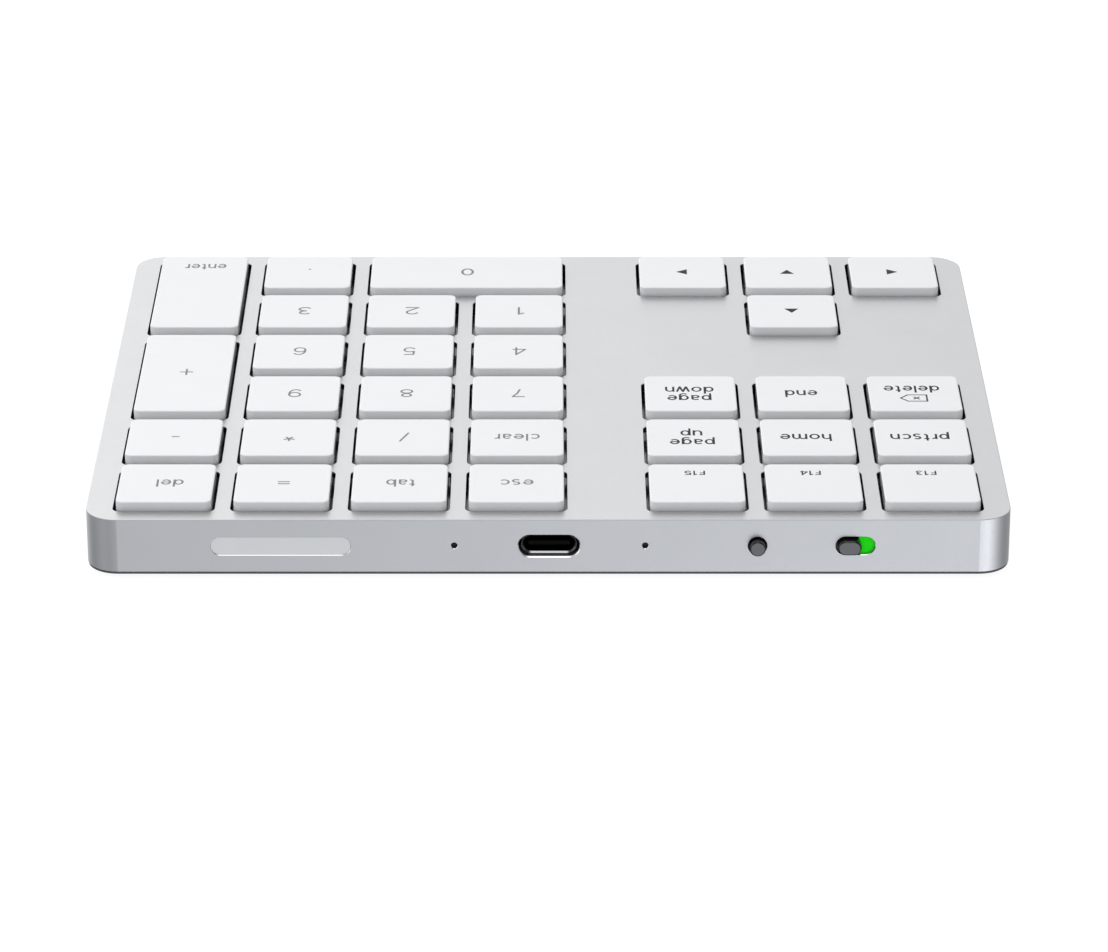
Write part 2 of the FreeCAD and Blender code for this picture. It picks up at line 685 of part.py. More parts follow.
def screw(name, head_r, head_h, shank_r, shank_l, recess):
    """A pan-headed screw, head down at z = 0, with a cross recess."""
    body = new_body(name)
    s = new_sketch(body, name + "_profile", "XZ_Plane")
    full = "(%s) + (%s)" % (head_h, shank_l)
    polygon(s, [(0.0, 0.0), (head_r, 0.0), (head_r, head_h),
                (shank_r, head_h), (shank_r, full), (0.0, full)])
    revolve(body, s, name + "_turn")
    for k, (a, b) in enumerate(((2 * recess, recess * 0.4), (recess * 0.4, 2 * recess))):
        s = new_sketch(body, "%s_cross_%d" % (name, k))
        rect(s, a, b)
        pocket(body, s, "(%s) * 0.6" % head_h, "%s_slot_%d" % (name, k))
    return body


long_screw = screw("cover_screw_proto", "dims.head_radius", "dims.head_high",
                   "dims.screw_radius", "dims.screw_long", 0.8)
copies(long_screw, "cover_screws",
       [(x, y, "dims.cover_base + dims.foot_sunk", None) for x, y in CORNERS])
short_screw = screw("plate_screw_proto", 1.2, 0.45, "dims.thread_radius - 0.02",
                    2.3, 0.6)
copies(short_screw, "plate_screws",
       [(x, y, "dims.plate_base - 0.45", None) for x, y in BOSSES])

# -------------------------------------------------------------------- keycaps
for name, x, y, shape in KEYS:
    lx = "dims.key_double" if shape == "wide" else "dims.key_size"
    ly = "dims.key_double" if shape == "tall" else "dims.key_size"
    cap = new_body(name + "_body")
    sk = new_sketch(cap, name + "_outline")
    rounded(sk, lx, ly, "dims.cap_corner")
    f = cap.newObject("PartDesign::Pad", name + "_block")
    f.Profile = sk
    f.setExpression("Length", "dims.cap_high")
    cap.Tip = f
    doc.recompute()
    cap_z = V["cap_high"]
    dress(cap, "Fillet", name + "_edge", "dims.cap_edge",
          lambda e: at_level(e, cap_z))
    # hollow underside
    sk = new_sketch(cap, name + "_hollow_outline")
    rounded(sk, lx + " - 2 * dims.cap_wall", ly + " - 2 * dims.cap_wall", 0.5)
    pocket(cap, sk, "dims.cap_high - dims.cap_plate", name + "_hollow")
    # four hooks that clip onto the scissor frames
    sk = new_sketch(cap, name + "_hook_outline", "XY_Plane",
                    "dims.cap_high - dims.cap_plate")
    for sx in ("-", ""):
        for sy in ("-", ""):
            rect(sk, "dims.hook_long", "dims.hook_thick", sx + "dims.hook_x",
                 sy + "dims.hook_y")
    pad(cap, sk, "dims.hook_deep", name + "_hooks", down=True)
    final(cap, name, x, "%s + %s" % (y, SHIFT), "dims.cap_base")

# ------------------------------------------------------ plate and membranes
plate = new_body("plate_body")
sk = new_sketch(plate, "plate_outline", "XY_Plane", "dims.plate_base")
rounded(sk, "dims.plate_width", "dims.plate_depth", 2.0)
for x, y in BOSSES:
    circle(sk, "dims.thread_radius + 0.15", x, y)
pad(plate, sk, "dims.plate_thick", "plate_pad")
final(plate, "key_support_plate")


def membrane(label, n):
    body = new_body(label + "_body")
    level = "%s + %d * dims.sheet_thick" % (PLATE_TOP, n)
    s = new_sketch(body, label + "_outline", "XY_Plane", level)
    rounded(s, "dims.sheet_width", "dims.sheet_depth", 1.8)
    for x, y in BOSSES:
        circle(s, "dims.boss_radius + dims.boss_clear", x, y)
    pad(body, s, "dims.sheet_thick", label + "_pad")
    return body, level


body, level = membrane("membrane_bottom_sheet", 0)
# connector tail: over the plate's rear edge and down to the board
sk = new_sketch(body, "tail_outline", "XY_Plane", level)
rect(sk, 10.0, 1.3, 23.0, "dims.sheet_depth / 2 + 0.55")
pad(body, sk, "dims.sheet_thick", "tail_flat")
sk = new_sketch(body, "tail_drop_outline", "XY_Plane", level)
rect(sk, 10.0, 0.1, 23.0, "dims.sheet_depth / 2 + 1.15")
pad(body, sk, 2.2, "tail_drop", down=True)
final(body, "membrane_bottom_sheet")
body, level = membrane("membrane_spacer_sheet", 1)


def contact(s, shape, x, y):
    circle(s, "dims.contact_radius", x, y)


grid_cut(body, level, "dims.sheet_thick", "contact", contact)
final(body, "membrane_spacer_sheet")
body, level = membrane("membrane_top_sheet", 2)
final(body, "membrane_top_sheet")
STACK_TOP = "(%s + 3 * dims.sheet_thick)" % PLATE_TOP

# ------------------------------------------------------------ domes, scissors
dome = new_body("dome_proto")
sk = new_sketch(dome, "dome_profile", "XZ_Plane")
polygon(sk, [
    (0.0, "dims.dome_high"), (0.0, "dims.dome_high - 1.3"),
    (0.55, "dims.dome_high - 1.3"), (0.55, "dims.dome_high - 0.65"),
    (1.25, "dims.dome_high - 0.65"), ("dims.dome_radius - 0.75", 0.0),
    ("dims.dome_radius", 0.0), ("dims.dome_radius", 0.35),
    ("dims.dome_radius - 0.5", 0.35), (1.7, "dims.dome_high - 0.3"),
    (1.4, "dims.dome_high"),
])
revolve(dome, sk, "dome_turn")
copies(dome, "rubber_domes", [(x, y, STACK_TOP, None) for _, x, y, _ in KEYS])


def frame(name, width, bar):
    """A flat ring of moulded plastic, centred on its own pivot."""
    body = new_body(name)
    s = new_sketch(body, name + "_outline", "XY_Plane", "-dims.frame_thick / 2")
    rounded(s, width, "dims.frame_long", 0.8)
    rounded(s, "%s - 2 * %s" % (width, bar),
            "dims.frame_long - 2 * dims.frame_end", 0.4)
    pad(body, s, "dims.frame_thick", name + "_ring")
    return body


outer = frame("outer_frame_proto", "dims.outer_width", "dims.outer_bar")
sk = new_sketch(outer, "outer_pivot_outline", "YZ_Plane", "dims.outer_width / 2 + 0.2")
circle(sk, "dims.pin_hole")
pocket(outer, sk, "dims.outer_width + 0.4", "outer_pivot_holes")
inner = frame("inner_frame_proto", "dims.inner_width", "dims.inner_bar")
sk = new_sketch(inner, "inner_pin_outline", "YZ_Plane",
                "dims.inner_width / 2 - 0.2")
circle(sk, "dims.pin_radius")
f = pad(inner, sk, 1.3, "inner_pin")
mir = inner.newObject("PartDesign::Mirrored", "inner_pins")
mir.Originals = [f]
mir.MirrorPlane = (origin(inner, "YZ_Plane"), [""])
inner.Tip = mir
doc.recompute()
X_AXIS = Vector(1, 0, 0)


def tilted(sign):
    """Scissor frames lean about X, opposite ways, and cross at their middle."""
    return [
        (x, y, "dims.frame_mid", Rotation(X_AXIS, sign * V["frame_tilt"]))
        for _, x, y, _ in KEYS
    ]


copies(outer, "scissor_outer_frames", tilted(1))
copies(inner, "scissor_inner_frames", tilted(-1))

# stabiliser wire: a long run under one side of a double key, and two legs
# that slope down to the plate
leg_drop = V["wire_top"] - 8.35
leg_run = V["wire_leg"]
leg_tilt = math.degrees(math.atan2(leg_run, -leg_drop))
run = doc.addObject("Part::Cylinder", "wire_run")
bind(run, "Radius", "dims.wire_radius")
bind(run, "Height", "dims.wire_long")
place(run, "dims.wire_side", "-dims.wire_long / 2", "dims.wire_top",
      Rotation(X_AXIS, -90))
bits = [run]
for tag, sy in (("front", "-"), ("rear", "")):
    leg = doc.addObject("Part::Cylinder", "wire_leg_" + tag)
    bind(leg, "Radius", "dims.wire_radius")
    leg.Height = math.hypot(leg_run, leg_drop)
    place(leg, "dims.wire_side", sy + "dims.wire_long / 2", "dims.wire_top",
          Rotation(Vector(0, 1, 0), -leg_tilt))
    knee = doc.addObject("Part::Sphere", "wire_knee_" + tag)
    bind(knee, "Radius", "dims.wire_radius")
    place(knee, "dims.wire_side", sy + "dims.wire_long / 2", "dims.wire_top")
    bits += [leg, knee]
wire = doc.addObject("Part::MultiFuse", "stabiliser_proto")
wire.Shapes = bits
doc.recompute()
by_name = {n: (x, y) for n, x, y, _ in KEYS}
copies(wire, "stabiliser_bars", [
    (*by_name["key_plus"], 0.0, None),
    (*by_name["key_enter"], 0.0, None),
    (*by_name["key_0"], 0.0, Rotation(Vector(0, 0, 1), 90)),
])

# ------------------------------------------------------------- antenna window
window = new_body("window_body")
sk = new_sketch(window, "window_plug_outline", "XZ_Plane",
                "-(dims.case_depth / 2 - dims.window_deep)")
stadium(sk, "dims.window_long - 2 * dims.window_gap",
        "dims.window_high - 2 * dims.window_gap", "dims.window_x", "dims.window_z")
pad(window, sk, "dims.case_wall - dims.window_deep + 0.1", "window_plug")
sk = new_sketch(window, "window_flange_outline", "XZ_Plane",
                "-(dims.case_depth / 2 - dims.case_wall - 0.05)")
stadium(sk, "dims.window_long + 1.8", "dims.window_high + 1.4",
        "dims.window_x", "dims.window_z")
pad(window, sk, 0.5, "window_flange")
final(window, "antenna_window")

# ---------------------------------------------------------- USB-C receptacle
shell = new_body("shell_body")
sk = new_sketch(shell, "shell_outline", "XZ_Plane",
                "-(dims.case_depth / 2 - dims.shell_sunk)")
stadium(sk, "dims.shell_long", "dims.shell_high", "dims.usb_x", "dims.port_z")
stadium(sk, "dims.shell_long - 2 * dims.shell_wall",
        "dims.shell_high - 2 * dims.shell_wall", "dims.usb_x", "dims.port_z")
pad(shell, sk, "dims.shell_deep", "shell_tube")
lip_y = value("dims.case_depth / 2 - dims.shell_sunk")


def shell_mouth(e):
    """Inner edges of the tube's front face."""
    b = e.BoundBox
    return at_level(e, lip_y, "y") and (
        b.ZMax < V["port_z"] + V["shell_high"] / 2 - V["shell_wall"] + 0.01
        and b.ZMin > V["port_z"] - V["shell_high"] / 2 + V["shell_wall"] - 0.01
    )


# the lip is drawn inwards all round, which guides the plug
dress(shell, "Chamfer", "shell_lip_bevel", "dims.shell_lip", shell_mouth)
final(shell, "usb_c_shell")
tongue = new_body("tongue_body")
sk = new_sketch(tongue, "tongue_base_outline", "XZ_Plane",
                "-(dims.case_depth / 2 - dims.shell_sunk - dims.shell_deep + 2.2)")
stadium(sk, "dims.shell_long - 2 * dims.shell_wall - 0.06",
        "dims.shell_high - 2 * dims.shell_wall - 0.06", "dims.usb_x", "dims.port_z")
pad(tongue, sk, 2.1, "tongue_base")
sk = new_sketch(tongue, "tongue_outline", "XZ_Plane",
                "-(dims.case_depth / 2 - dims.shell_sunk - dims.shell_deep + 6.7)")
rect(sk, "dims.tongue_long", "dims.tongue_thick", "dims.usb_x", "dims.port_z")
pad(tongue, sk, 5.0, "tongue_blade")
final(tongue, "usb_c_tongue")

# ------------------------------------------------------------- pairing button
button = new_body("button_body")
# profile turned about Y: radius along x, distance from the case's middle along y
sk = new_sketch(button, "button_profile", "XY_Plane")
face = "(%s + dims.proud)" % REAR
polygon(sk, [
    (0.0, "%s - 0.6" % WALL_IN + " - 0.5"), (0.8, "%s - 0.6" % WALL_IN + " - 0.5"),
    (0.8, "%s - 0.6" % WALL_IN), ("dims.pair_flange", "%s - 0.6" % WALL_IN),
    ("dims.pair_flange", "%s - 0.1" % WALL_IN),
    ("dims.pair_radius", "%s - 0.1" % WALL_IN),
    ("dims.pair_radius", face + " - 0.22"), ("dims.pair_radius - 0.22", face),
    (0.0, face),
])
revolve(button, sk, "button_turn", "V_Axis")
final(button, "pairing_button", "dims.pair_x", SHIFT, "dims.row_z")

# --------------------------------------------------------------- power slider
# rest is the ON position: the nub is at the +X end of its slot
slider = new_body("slider_body")
PLATE_Y = "(dims.case_depth / 2 - dims.lip - 0.05)"
sk = new_sketch(slider, "slide_plate_outline", "XZ_Plane", "-" + PLATE_Y)
rounded(sk, "dims.slide_long", "dims.slide_high", 0.4,
        "dims.slot_x + dims.nub_travel / 2", "dims.row_z")
pad(slider, sk, "dims.slide_thick", "slide_plate")
# the coloured marker runs under the rounded end of the nub, so its seat is
# cut before the nub is added
MARK_L = "(dims.slot_x - dims.slot_long / 2 - 0.6)"
MARK_R = "(dims.slot_x + dims.nub_travel / 2 - dims.nub_long / 2 + dims.nub_high / 2)"
sk = new_sketch(slider, "marker_seat_outline", "XZ_Plane", "-" + PLATE_Y)
rect(sk, "%s - %s" % (MARK_R, MARK_L), "dims.slide_high - 0.5",
     "(%s + %s) / 2" % (MARK_R, MARK_L), "dims.row_z")
pocket(slider, sk, "dims.marker_thick", "marker_seat")
NUB_X = "dims.slot_x + dims.nub_travel / 2"
sk = new_sketch(slider, "nub_outline", "XZ_Plane", "-" + PLATE_Y)
stadium(sk, "dims.nub_long", "dims.nub_high", NUB_X, "dims.row_z")
pad(slider, sk, "dims.lip + 0.05 + dims.nub_proud", "nub", down=True)
nub_y = value("%s + dims.nub_proud" % REAR)
dress(slider, "Chamfer", "nub_edge", 0.25, lambda e: at_level(e, nub_y, "y"))
sk = new_sketch(slider, "stem_outline", "XZ_Plane",
                "-(%s - dims.slide_thick)" % PLATE_Y)
rect(sk, 1.6, 1.4, NUB_X, "dims.row_z")
pad(slider, sk, 2.6, "stem")
final(slider, "power_slider")
marker = new_body("marker_body")
sk = new_sketch(marker, "marker_outline", "XZ_Plane", "-" + PLATE_Y)
rect(sk, "%s - %s - 0.04" % (MARK_R, MARK_L), "dims.slide_high - 0.54",
     "(%s + %s) / 2" % (MARK_R, MARK_L), "dims.row_z")
pad(marker, sk, "dims.marker_thick - 0.01", "marker_pad")
final(marker, "power_on_marker")

# ---------------------------------------------------------------- main board
BOARD_TOP = "(dims.board_base + dims.board_thick)"
board = new_body("board_body")
sk = new_sketch(board, "board_outline", "XY_Plane", "dims.board_base")
rounded(sk, "dims.board_width", "dims.board_rear - dims.board_front", 1.0, 0.0,
        "(dims.board_rear + dims.board_front) / 2")
pad(board, sk, "dims.board_thick", "board_pad")
# a relief notch in the rear edge, so that the button's flange can travel
sk = new_sketch(board, "button_notch_outline", "XY_Plane", "dims.board_base")
rect(sk, "2 * dims.pair_flange + 1.2", 1.6, "dims.pair_x", "dims.board_rear")
pocket(board, sk, "dims.board_thick", "button_notch")
final(board, "main_board")

chips = []
for name, lx, ly, lz, cx, cy in (
    ("controller", 6.0, 6.0, 0.85, 6.0, 47.0),
    ("radio", 5.0, 5.0, 0.8, 34.0, 48.0),
    ("crystal", 2.5, 2.0, 0.7, 28.0, 49.5),
    ("flash", 4.0, 3.0, 0.9, -6.0, 46.0),
    ("charger", 3.0, 3.0, 0.8, -12.5, 50.5),
    ("coil", 3.2, 3.2, 1.6, -17.5, 50.5),
    ("antenna_chip", 7.0, 2.0, 1.1, 43.1, 55.2),
    ("tail_socket", 11.0, 1.4, 1.4, 23.0, 56.05),
    ("battery_socket", 6.0, 4.0, 2.2, -19.25, 45.0),
    ("led_left", 1.6, 0.8, 0.6, -15.62, 55.6),
    ("led_right", 1.6, 0.8, 0.6, 15.16, 55.6),
    ("capacitor_1", 1.0, 0.5, 0.5, 0.5, 47.5),
    ("capacitor_2", 1.0, 0.5, 0.5, 12.0, 46.5),
    ("capacitor_3", 1.0, 0.5, 0.5, 38.5, 46.5),
    ("capacitor_4", 1.6, 0.8, 0.8, -9.0, 50.5),
):
    chips.append(block(name, lx, ly, lz, cx - lx / 2, cy - ly / 2, BOARD_TOP))
group = doc.addObject("Part::Compound", "chip_group")
group.Links = chips
final(group, "board_chips")

# light guides: a block over each light and a rod into the wall opening
guides = []
for tag, alias in (("left", "dims.pin_left"), ("right", "dims.pin_right")):
    base = block("guide_block_" + tag, 1.8, 1.8, 1.75, alias + " - 0.9", 54.7,
                 4.65)
    rod = doc.addObject("Part::Cylinder", "guide_rod_" + tag)
    rod.Radius = 0.45
    rod.Height = 2.0
    place(rod, alias, 56.3, "dims.row_z", Rotation(X_AXIS, -90))
    both = doc.addObject("Part::Fuse", "guide_" + tag)
    both.Base = base
    both.Tool = rod
    guides.append(both)
group = doc.addObject("Part::Compound", "guide_group")
group.Links = guides
final(group, "led_light_guides")

# side-push switch behind the pairing button, with its own small plunger
base = block("tact_case", 4.2, 2.2, 3.0, "dims.pair_x - 2.1", 53.4, BOARD_TOP)
tip = doc.addObject("Part::Cylinder", "tact_plunger")
tip.Radius = 0.7
tip.Height = 0.6
place(tip, "dims.pair_x", 55.4, "dims.row_z", Rotation(X_AXIS, -90))
tact = doc.addObject("Part::Fuse", "tact_fuse")
tact.Base = base
tact.Tool = tip
final(tact, "tact_switch")

# slide switch on the board: a case with a channel for the slider's stem
base = block("switch_case", 9.0, 3.4, 3.1, "dims.slot_x - 4.5", 52.8, BOARD_TOP)
channel = block("switch_channel", "dims.nub_travel + 1.6 + 0.4", 1.8, 1.7,
                "dims.slot_x - (dims.nub_travel + 1.6 + 0.4) / 2", 54.6,
                "dims.row_z - 0.85")
housing = doc.addObject("Part::Cut", "switch_cut")
housing.Base = base
housing.Tool = channel
final(housing, "power_switch_housing")

# ------------------------------------------------------------------- battery
cell = new_body("cell_body")
sk = new_sketch(cell, "cell_outline", "XY_Plane", "dims.cell_base")
rounded(sk, "dims.cell_long", "dims.cell_wide", 2.0, 0.0, "dims.cell_y")
pad(cell, sk, "dims.cell_thick", "cell_pouch")
lo, hi = V["cell_base"], V["cell_base"] + V["cell_thick"]
dress(cell, "Fillet", "cell_edges", 1.0,
      lambda e: at_level(e, lo) or at_level(e, hi))
sk = new_sketch(cell, "cell_tab_outline", "XY_Plane", "dims.cell_base + 2.3")
rect(sk, 36.0, 2.2, 0.0, "dims.cell_y + dims.cell_wide / 2 + 0.9")
pad(cell, sk, 1.2, "cell_tab")
final(cell, "battery_cell")

# two insulated wires from the cell's protection board to the board socket, an
# easy S-bend of two arcs with straight ends
leads = []
bend, start_y, end_y = 10.0, 18.0, 43.0
side = 4.5
turn = math.acos(1 - side / (2 * bend))
y1 = (start_y + end_y) / 2 - bend * math.sin(turn)
for n, x0 in enumerate((-14.0, -15.5)):
    path = doc.addObject("Sketcher::SketchObject", "lead_path_%d" % n)
    path.Placement = Placement(Vector(0, 0, V["lead_z"]), Rotation())
    path.setExpression(".Placement.Base.z", "dims.lead_z")
    up = Vector(0, 0, 1)
    mid = Vector(x0 - bend + bend * math.cos(turn), y1 + bend * math.sin(turn), 0)
    path.addGeometry([
        Part.LineSegment(Vector(x0, start_y, 0), Vector(x0, y1, 0)),
        Part.ArcOfCircle(Part.Circle(Vector(x0 - bend, y1, 0), up, bend), 0, turn),
        Part.ArcOfCircle(
            Part.Circle(Vector(x0 - side + bend, 2 * mid.y - y1, 0), up, bend),
            math.pi, math.pi + turn),
        Part.LineSegment(Vector(x0 - side, 2 * mid.y - y1, 0),
                         Vector(x0 - side, end_y, 0)),
    ], False)
    ring = doc.addObject("Sketcher::SketchObject", "lead_ring_%d" % n)
    ring.Placement = Placement(Vector(x0, start_y, V["lead_z"]),
                               Rotation(X_AXIS, 90))
    ring.setExpression(".Placement.Base.z", "dims.lead_z")
    circle(ring, "dims.lead_radius")
    doc.recompute()
    # the edges in order along the wire
    order = sorted(range(4), key=lambda k: path.Shape.Edges[k].CenterOfMass.y)
    sweep = doc.addObject("Part::Sweep", "lead_%d" % n)
    sweep.Sections = [ring]
    sweep.Spine = (path, ["Edge%d" % (k + 1) for k in order])
    sweep.Solid = True
    sweep.Frenet = False
    doc.recompute()
    length = sum(e.Length for e in path.Shape.Edges)
    area = math.pi * V["lead_radius"] ** 2
    print("lead %d: bend radius %.1f, length %.2f, volume %.3f, section x length %.3f"
          % (n, bend, length, sweep.Shape.Volume, area * length))
    leads.append(sweep)
group = doc.addObject("Part::Compound", "lead_group")
group.Links = leads
final(group, "battery_lead")

# -------------------------------------------------------------------- output
doc.recompute()
bad = [
    "%s: %s" % (o.Name, o.State)
    for o in doc.Objects
    if "Invalid" in o.State or "Error" in o.State
]
if bad:
    raise RuntimeError("failed objects: " + "; ".join(bad))
labels = [o.Label for o in finals]
if len(set(labels)) != len(labels) or len(labels) > 60:
    raise RuntimeError("labels repeat or are too many: %d" % len(labels))
whole = FreeCAD.BoundBox()
for o in finals:
    s = Part.getShape(o)
    if s.isNull() or not s.isValid() or not s.Solids:
        raise RuntimeError("%s has no valid solid" % o.Label)
    whole.add(s.BoundBox)
    s.exportStep("parts/%s.step" % o.Label)
    print("%-24s solids %3d  volume %10.2f  box x %.2f..%.2f y %.2f..%.2f z %.2f..%.2f"
          % (o.Label, len(s.Solids), s.Volume, s.BoundBox.XMin, s.BoundBox.XMax,
             s.BoundBox.YMin, s.BoundBox.YMax, s.BoundBox.ZMin, s.BoundBox.ZMax))
print("%d nodes" % len(finals))
print("whole", whole)
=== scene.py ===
"""Numeric keypad: looks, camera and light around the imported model. Everything is in metres, in the row frame."""

import json
import math

import bmesh
import bpy
import numpy as np
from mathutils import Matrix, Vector, geometry

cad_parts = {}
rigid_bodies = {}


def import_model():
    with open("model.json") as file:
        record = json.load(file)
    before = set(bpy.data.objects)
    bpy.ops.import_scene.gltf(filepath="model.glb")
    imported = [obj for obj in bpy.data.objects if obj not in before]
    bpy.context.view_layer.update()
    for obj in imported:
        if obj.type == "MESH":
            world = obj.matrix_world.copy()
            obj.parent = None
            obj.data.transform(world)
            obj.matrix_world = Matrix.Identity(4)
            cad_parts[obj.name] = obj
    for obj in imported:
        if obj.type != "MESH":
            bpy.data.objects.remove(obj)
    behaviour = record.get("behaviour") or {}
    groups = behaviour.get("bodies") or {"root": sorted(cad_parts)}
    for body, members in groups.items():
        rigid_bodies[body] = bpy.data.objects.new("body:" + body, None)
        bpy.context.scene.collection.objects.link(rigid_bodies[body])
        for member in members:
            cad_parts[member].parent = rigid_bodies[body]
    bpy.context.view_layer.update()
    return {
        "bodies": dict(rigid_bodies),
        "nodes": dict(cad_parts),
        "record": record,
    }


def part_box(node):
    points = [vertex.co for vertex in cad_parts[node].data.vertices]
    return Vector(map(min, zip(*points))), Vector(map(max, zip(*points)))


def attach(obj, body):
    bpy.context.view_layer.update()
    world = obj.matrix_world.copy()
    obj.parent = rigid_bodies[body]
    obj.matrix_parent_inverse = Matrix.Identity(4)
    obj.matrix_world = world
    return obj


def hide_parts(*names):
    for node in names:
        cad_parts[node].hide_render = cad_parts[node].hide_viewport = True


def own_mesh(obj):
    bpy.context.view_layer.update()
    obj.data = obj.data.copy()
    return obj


for _o in list(bpy.data.objects):
    bpy.data.objects.remove(_o, do_unlink=True)

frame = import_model()

MM = 0.001
scene = bpy.context.scene
NODES = frame["nodes"]
RECORD = frame["record"]
SLOT_OF = {s["node"]: s["material_slot"] for s in RECORD["subparts"]}
KEYS = sorted(n for n in frame["bodies"] if n.startswith("key_"))
BOX = {n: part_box(n) for n in NODES}
KEY_TOP = BOX["key_5"][1].z
DECK = BOX["top_case"][1].z


# ---------------------------------------------------------------- camera

def make_camera():
    cam = bpy.data.objects.new("camera", bpy.data.cameras.new("camera"))
    scene.collection.objects.link(cam)
    scene.camera = cam
    cam.data.type = "PERSP"
    cam.data.sensor_fit = "HORIZONTAL"
    cam.data.sensor_width = 36.0
    cam.data.lens = 160.465
    cam.data.shift_x = 0.00620
    cam.data.shift_y = 0.00050
    cam.data.clip_start = 0.01
    cam.data.clip_end = 30.0
    cam.data.dof.use_dof = False
    cam.rotation_euler = (math.pi / 2 - 0.4105, 0.0, math.pi)
    cam.location = (0.00019, 0.78341, 0.33354)


make_camera()


# ---------------------------------------------------------------- material helpers

class Look:
    """One Principled material, built up node by node from object-space textures."""

    def __init__(self, name, rough, metallic=0.0, ior=1.46, specular=0.5):
        self.mat = bpy.data.materials.new(name)
        self.mat.use_nodes = True
        self.nt = self.mat.node_tree
        self.nt.nodes.clear()
        self.out = self.nt.nodes.new("ShaderNodeOutputMaterial")
        self.b = self.nt.nodes.new("ShaderNodeBsdfPrincipled")
        self.nt.links.new(self.b.outputs["BSDF"], self.out.inputs["Surface"])
        self.b.inputs["Roughness"].default_value = rough
        self.b.inputs["Metallic"].default_value = metallic
        self.b.inputs["IOR"].default_value = ior
        self.b.inputs["Specular IOR Level"].default_value = specular
        self.coord = self.nt.nodes.new("ShaderNodeTexCoord")
        self.height = None

    def node(self, kind, **props):
        n = self.nt.nodes.new(kind)
        for k, v in props.items():
            setattr(n, k, v)
        return n

    def link(self, a, b):
        self.nt.links.new(a, b)

    def scaled(self, scale):
        """Object coordinates times a vector, for stretched textures."""
        m = self.node("ShaderNodeVectorMath", operation="MULTIPLY")
        self.link(self.coord.outputs["Object"], m.inputs[0])
        m.inputs[1].default_value = scale
        return m.outputs[0]

    def noise(self, size_mm, detail=2.0, rough=0.5, stretch=None):
        n = self.node("ShaderNodeTexNoise")
        n.inputs["Detail"].default_value = detail
        n.inputs["Roughness"].default_value = rough
        if stretch is None:
            self.link(self.coord.outputs["Object"], n.inputs["Vector"])
            n.inputs["Scale"].default_value = 1000.0 / size_mm
        else:
            self.link(self.scaled(tuple(1000.0 / s for s in stretch)), n.inputs["Vector"])
            n.inputs["Scale"].default_value = 1.0
        return n.outputs["Fac"]

    def spread(self, fac, low, high, a=0.3, b=0.7):
        m = self.node("ShaderNodeMapRange")
        m.inputs["From Min"].default_value = a
        m.inputs["From Max"].default_value = b
        m.inputs["To Min"].default_value = low
        m.inputs["To Max"].default_value = high
        self.link(fac, m.inputs["Value"])
        return m.outputs["Result"]

    def mix(self, fac, a, b):
        m = self.node("ShaderNodeMix", data_type="RGBA")
        m.clamp_factor = True
        if isinstance(fac, (int, float)):
            m.inputs["Factor"].default_value = fac
        else:
            self.link(fac, m.inputs["Factor"])
        col_a = [s for s in m.inputs if s.name == "A" and s.type == "RGBA"][0]
        col_b = [s for s in m.inputs if s.name == "B" and s.type == "RGBA"][0]
        for sock, v in ((col_a, a), (col_b, b)):
            if isinstance(v, tuple):
                sock.default_value = (*v[:3], 1.0)
            else:
                self.link(v, sock)
        return [s for s in m.outputs if s.type == "RGBA"][0]

    def colour(self, value):
        if isinstance(value, tuple):
            self.b.inputs["Base Color"].default_value = (*value[:3], 1.0)
        else:
            self.link(value, self.b.inputs["Base Color"])

    def vary_colour(self, rgb, share, size_mm, detail=2.0):
        low = tuple(c * (1 - share) for c in rgb)
        high = tuple(min(c * (1 + share), 1.0) for c in rgb)
        f = self.spread(self.noise(size_mm, detail), 0.0, 1.0)
        out = self.mix(f, low, high)
        self.colour(out)
        return out

    def vary_rough(self, low, high, size_mm, detail=2.0, stretch=None):
        self.link(self.spread(self.noise(size_mm, detail, stretch=stretch), low, high), self.b.inputs["Roughness"])

    def bump(self, fac, depth_mm, strength=1.0):
        """Adds a layer of relief, depth_mm from trough to crest."""
        n = self.node("ShaderNodeBump")
        n.inputs["Strength"].default_value = strength
        n.inputs["Distance"].default_value = depth_mm * MM
        self.link(fac, n.inputs["Height"])
        if self.height is not None:
            self.link(self.height, n.inputs["Normal"])
        self.height = n.outputs["Normal"]
        self.link(self.height, self.b.inputs["Normal"])

    def axis(self, name):
        s = self.node("ShaderNodeSeparateXYZ")
        self.link(self.coord.outputs["Object"], s.inputs[0])
        return s.outputs[name]

    def step(self, value, edge, soft):
        """0 below edge, 1 above, over a soft band."""
        return self.spread(value, 0.0, 1.0, edge - soft, edge + soft)


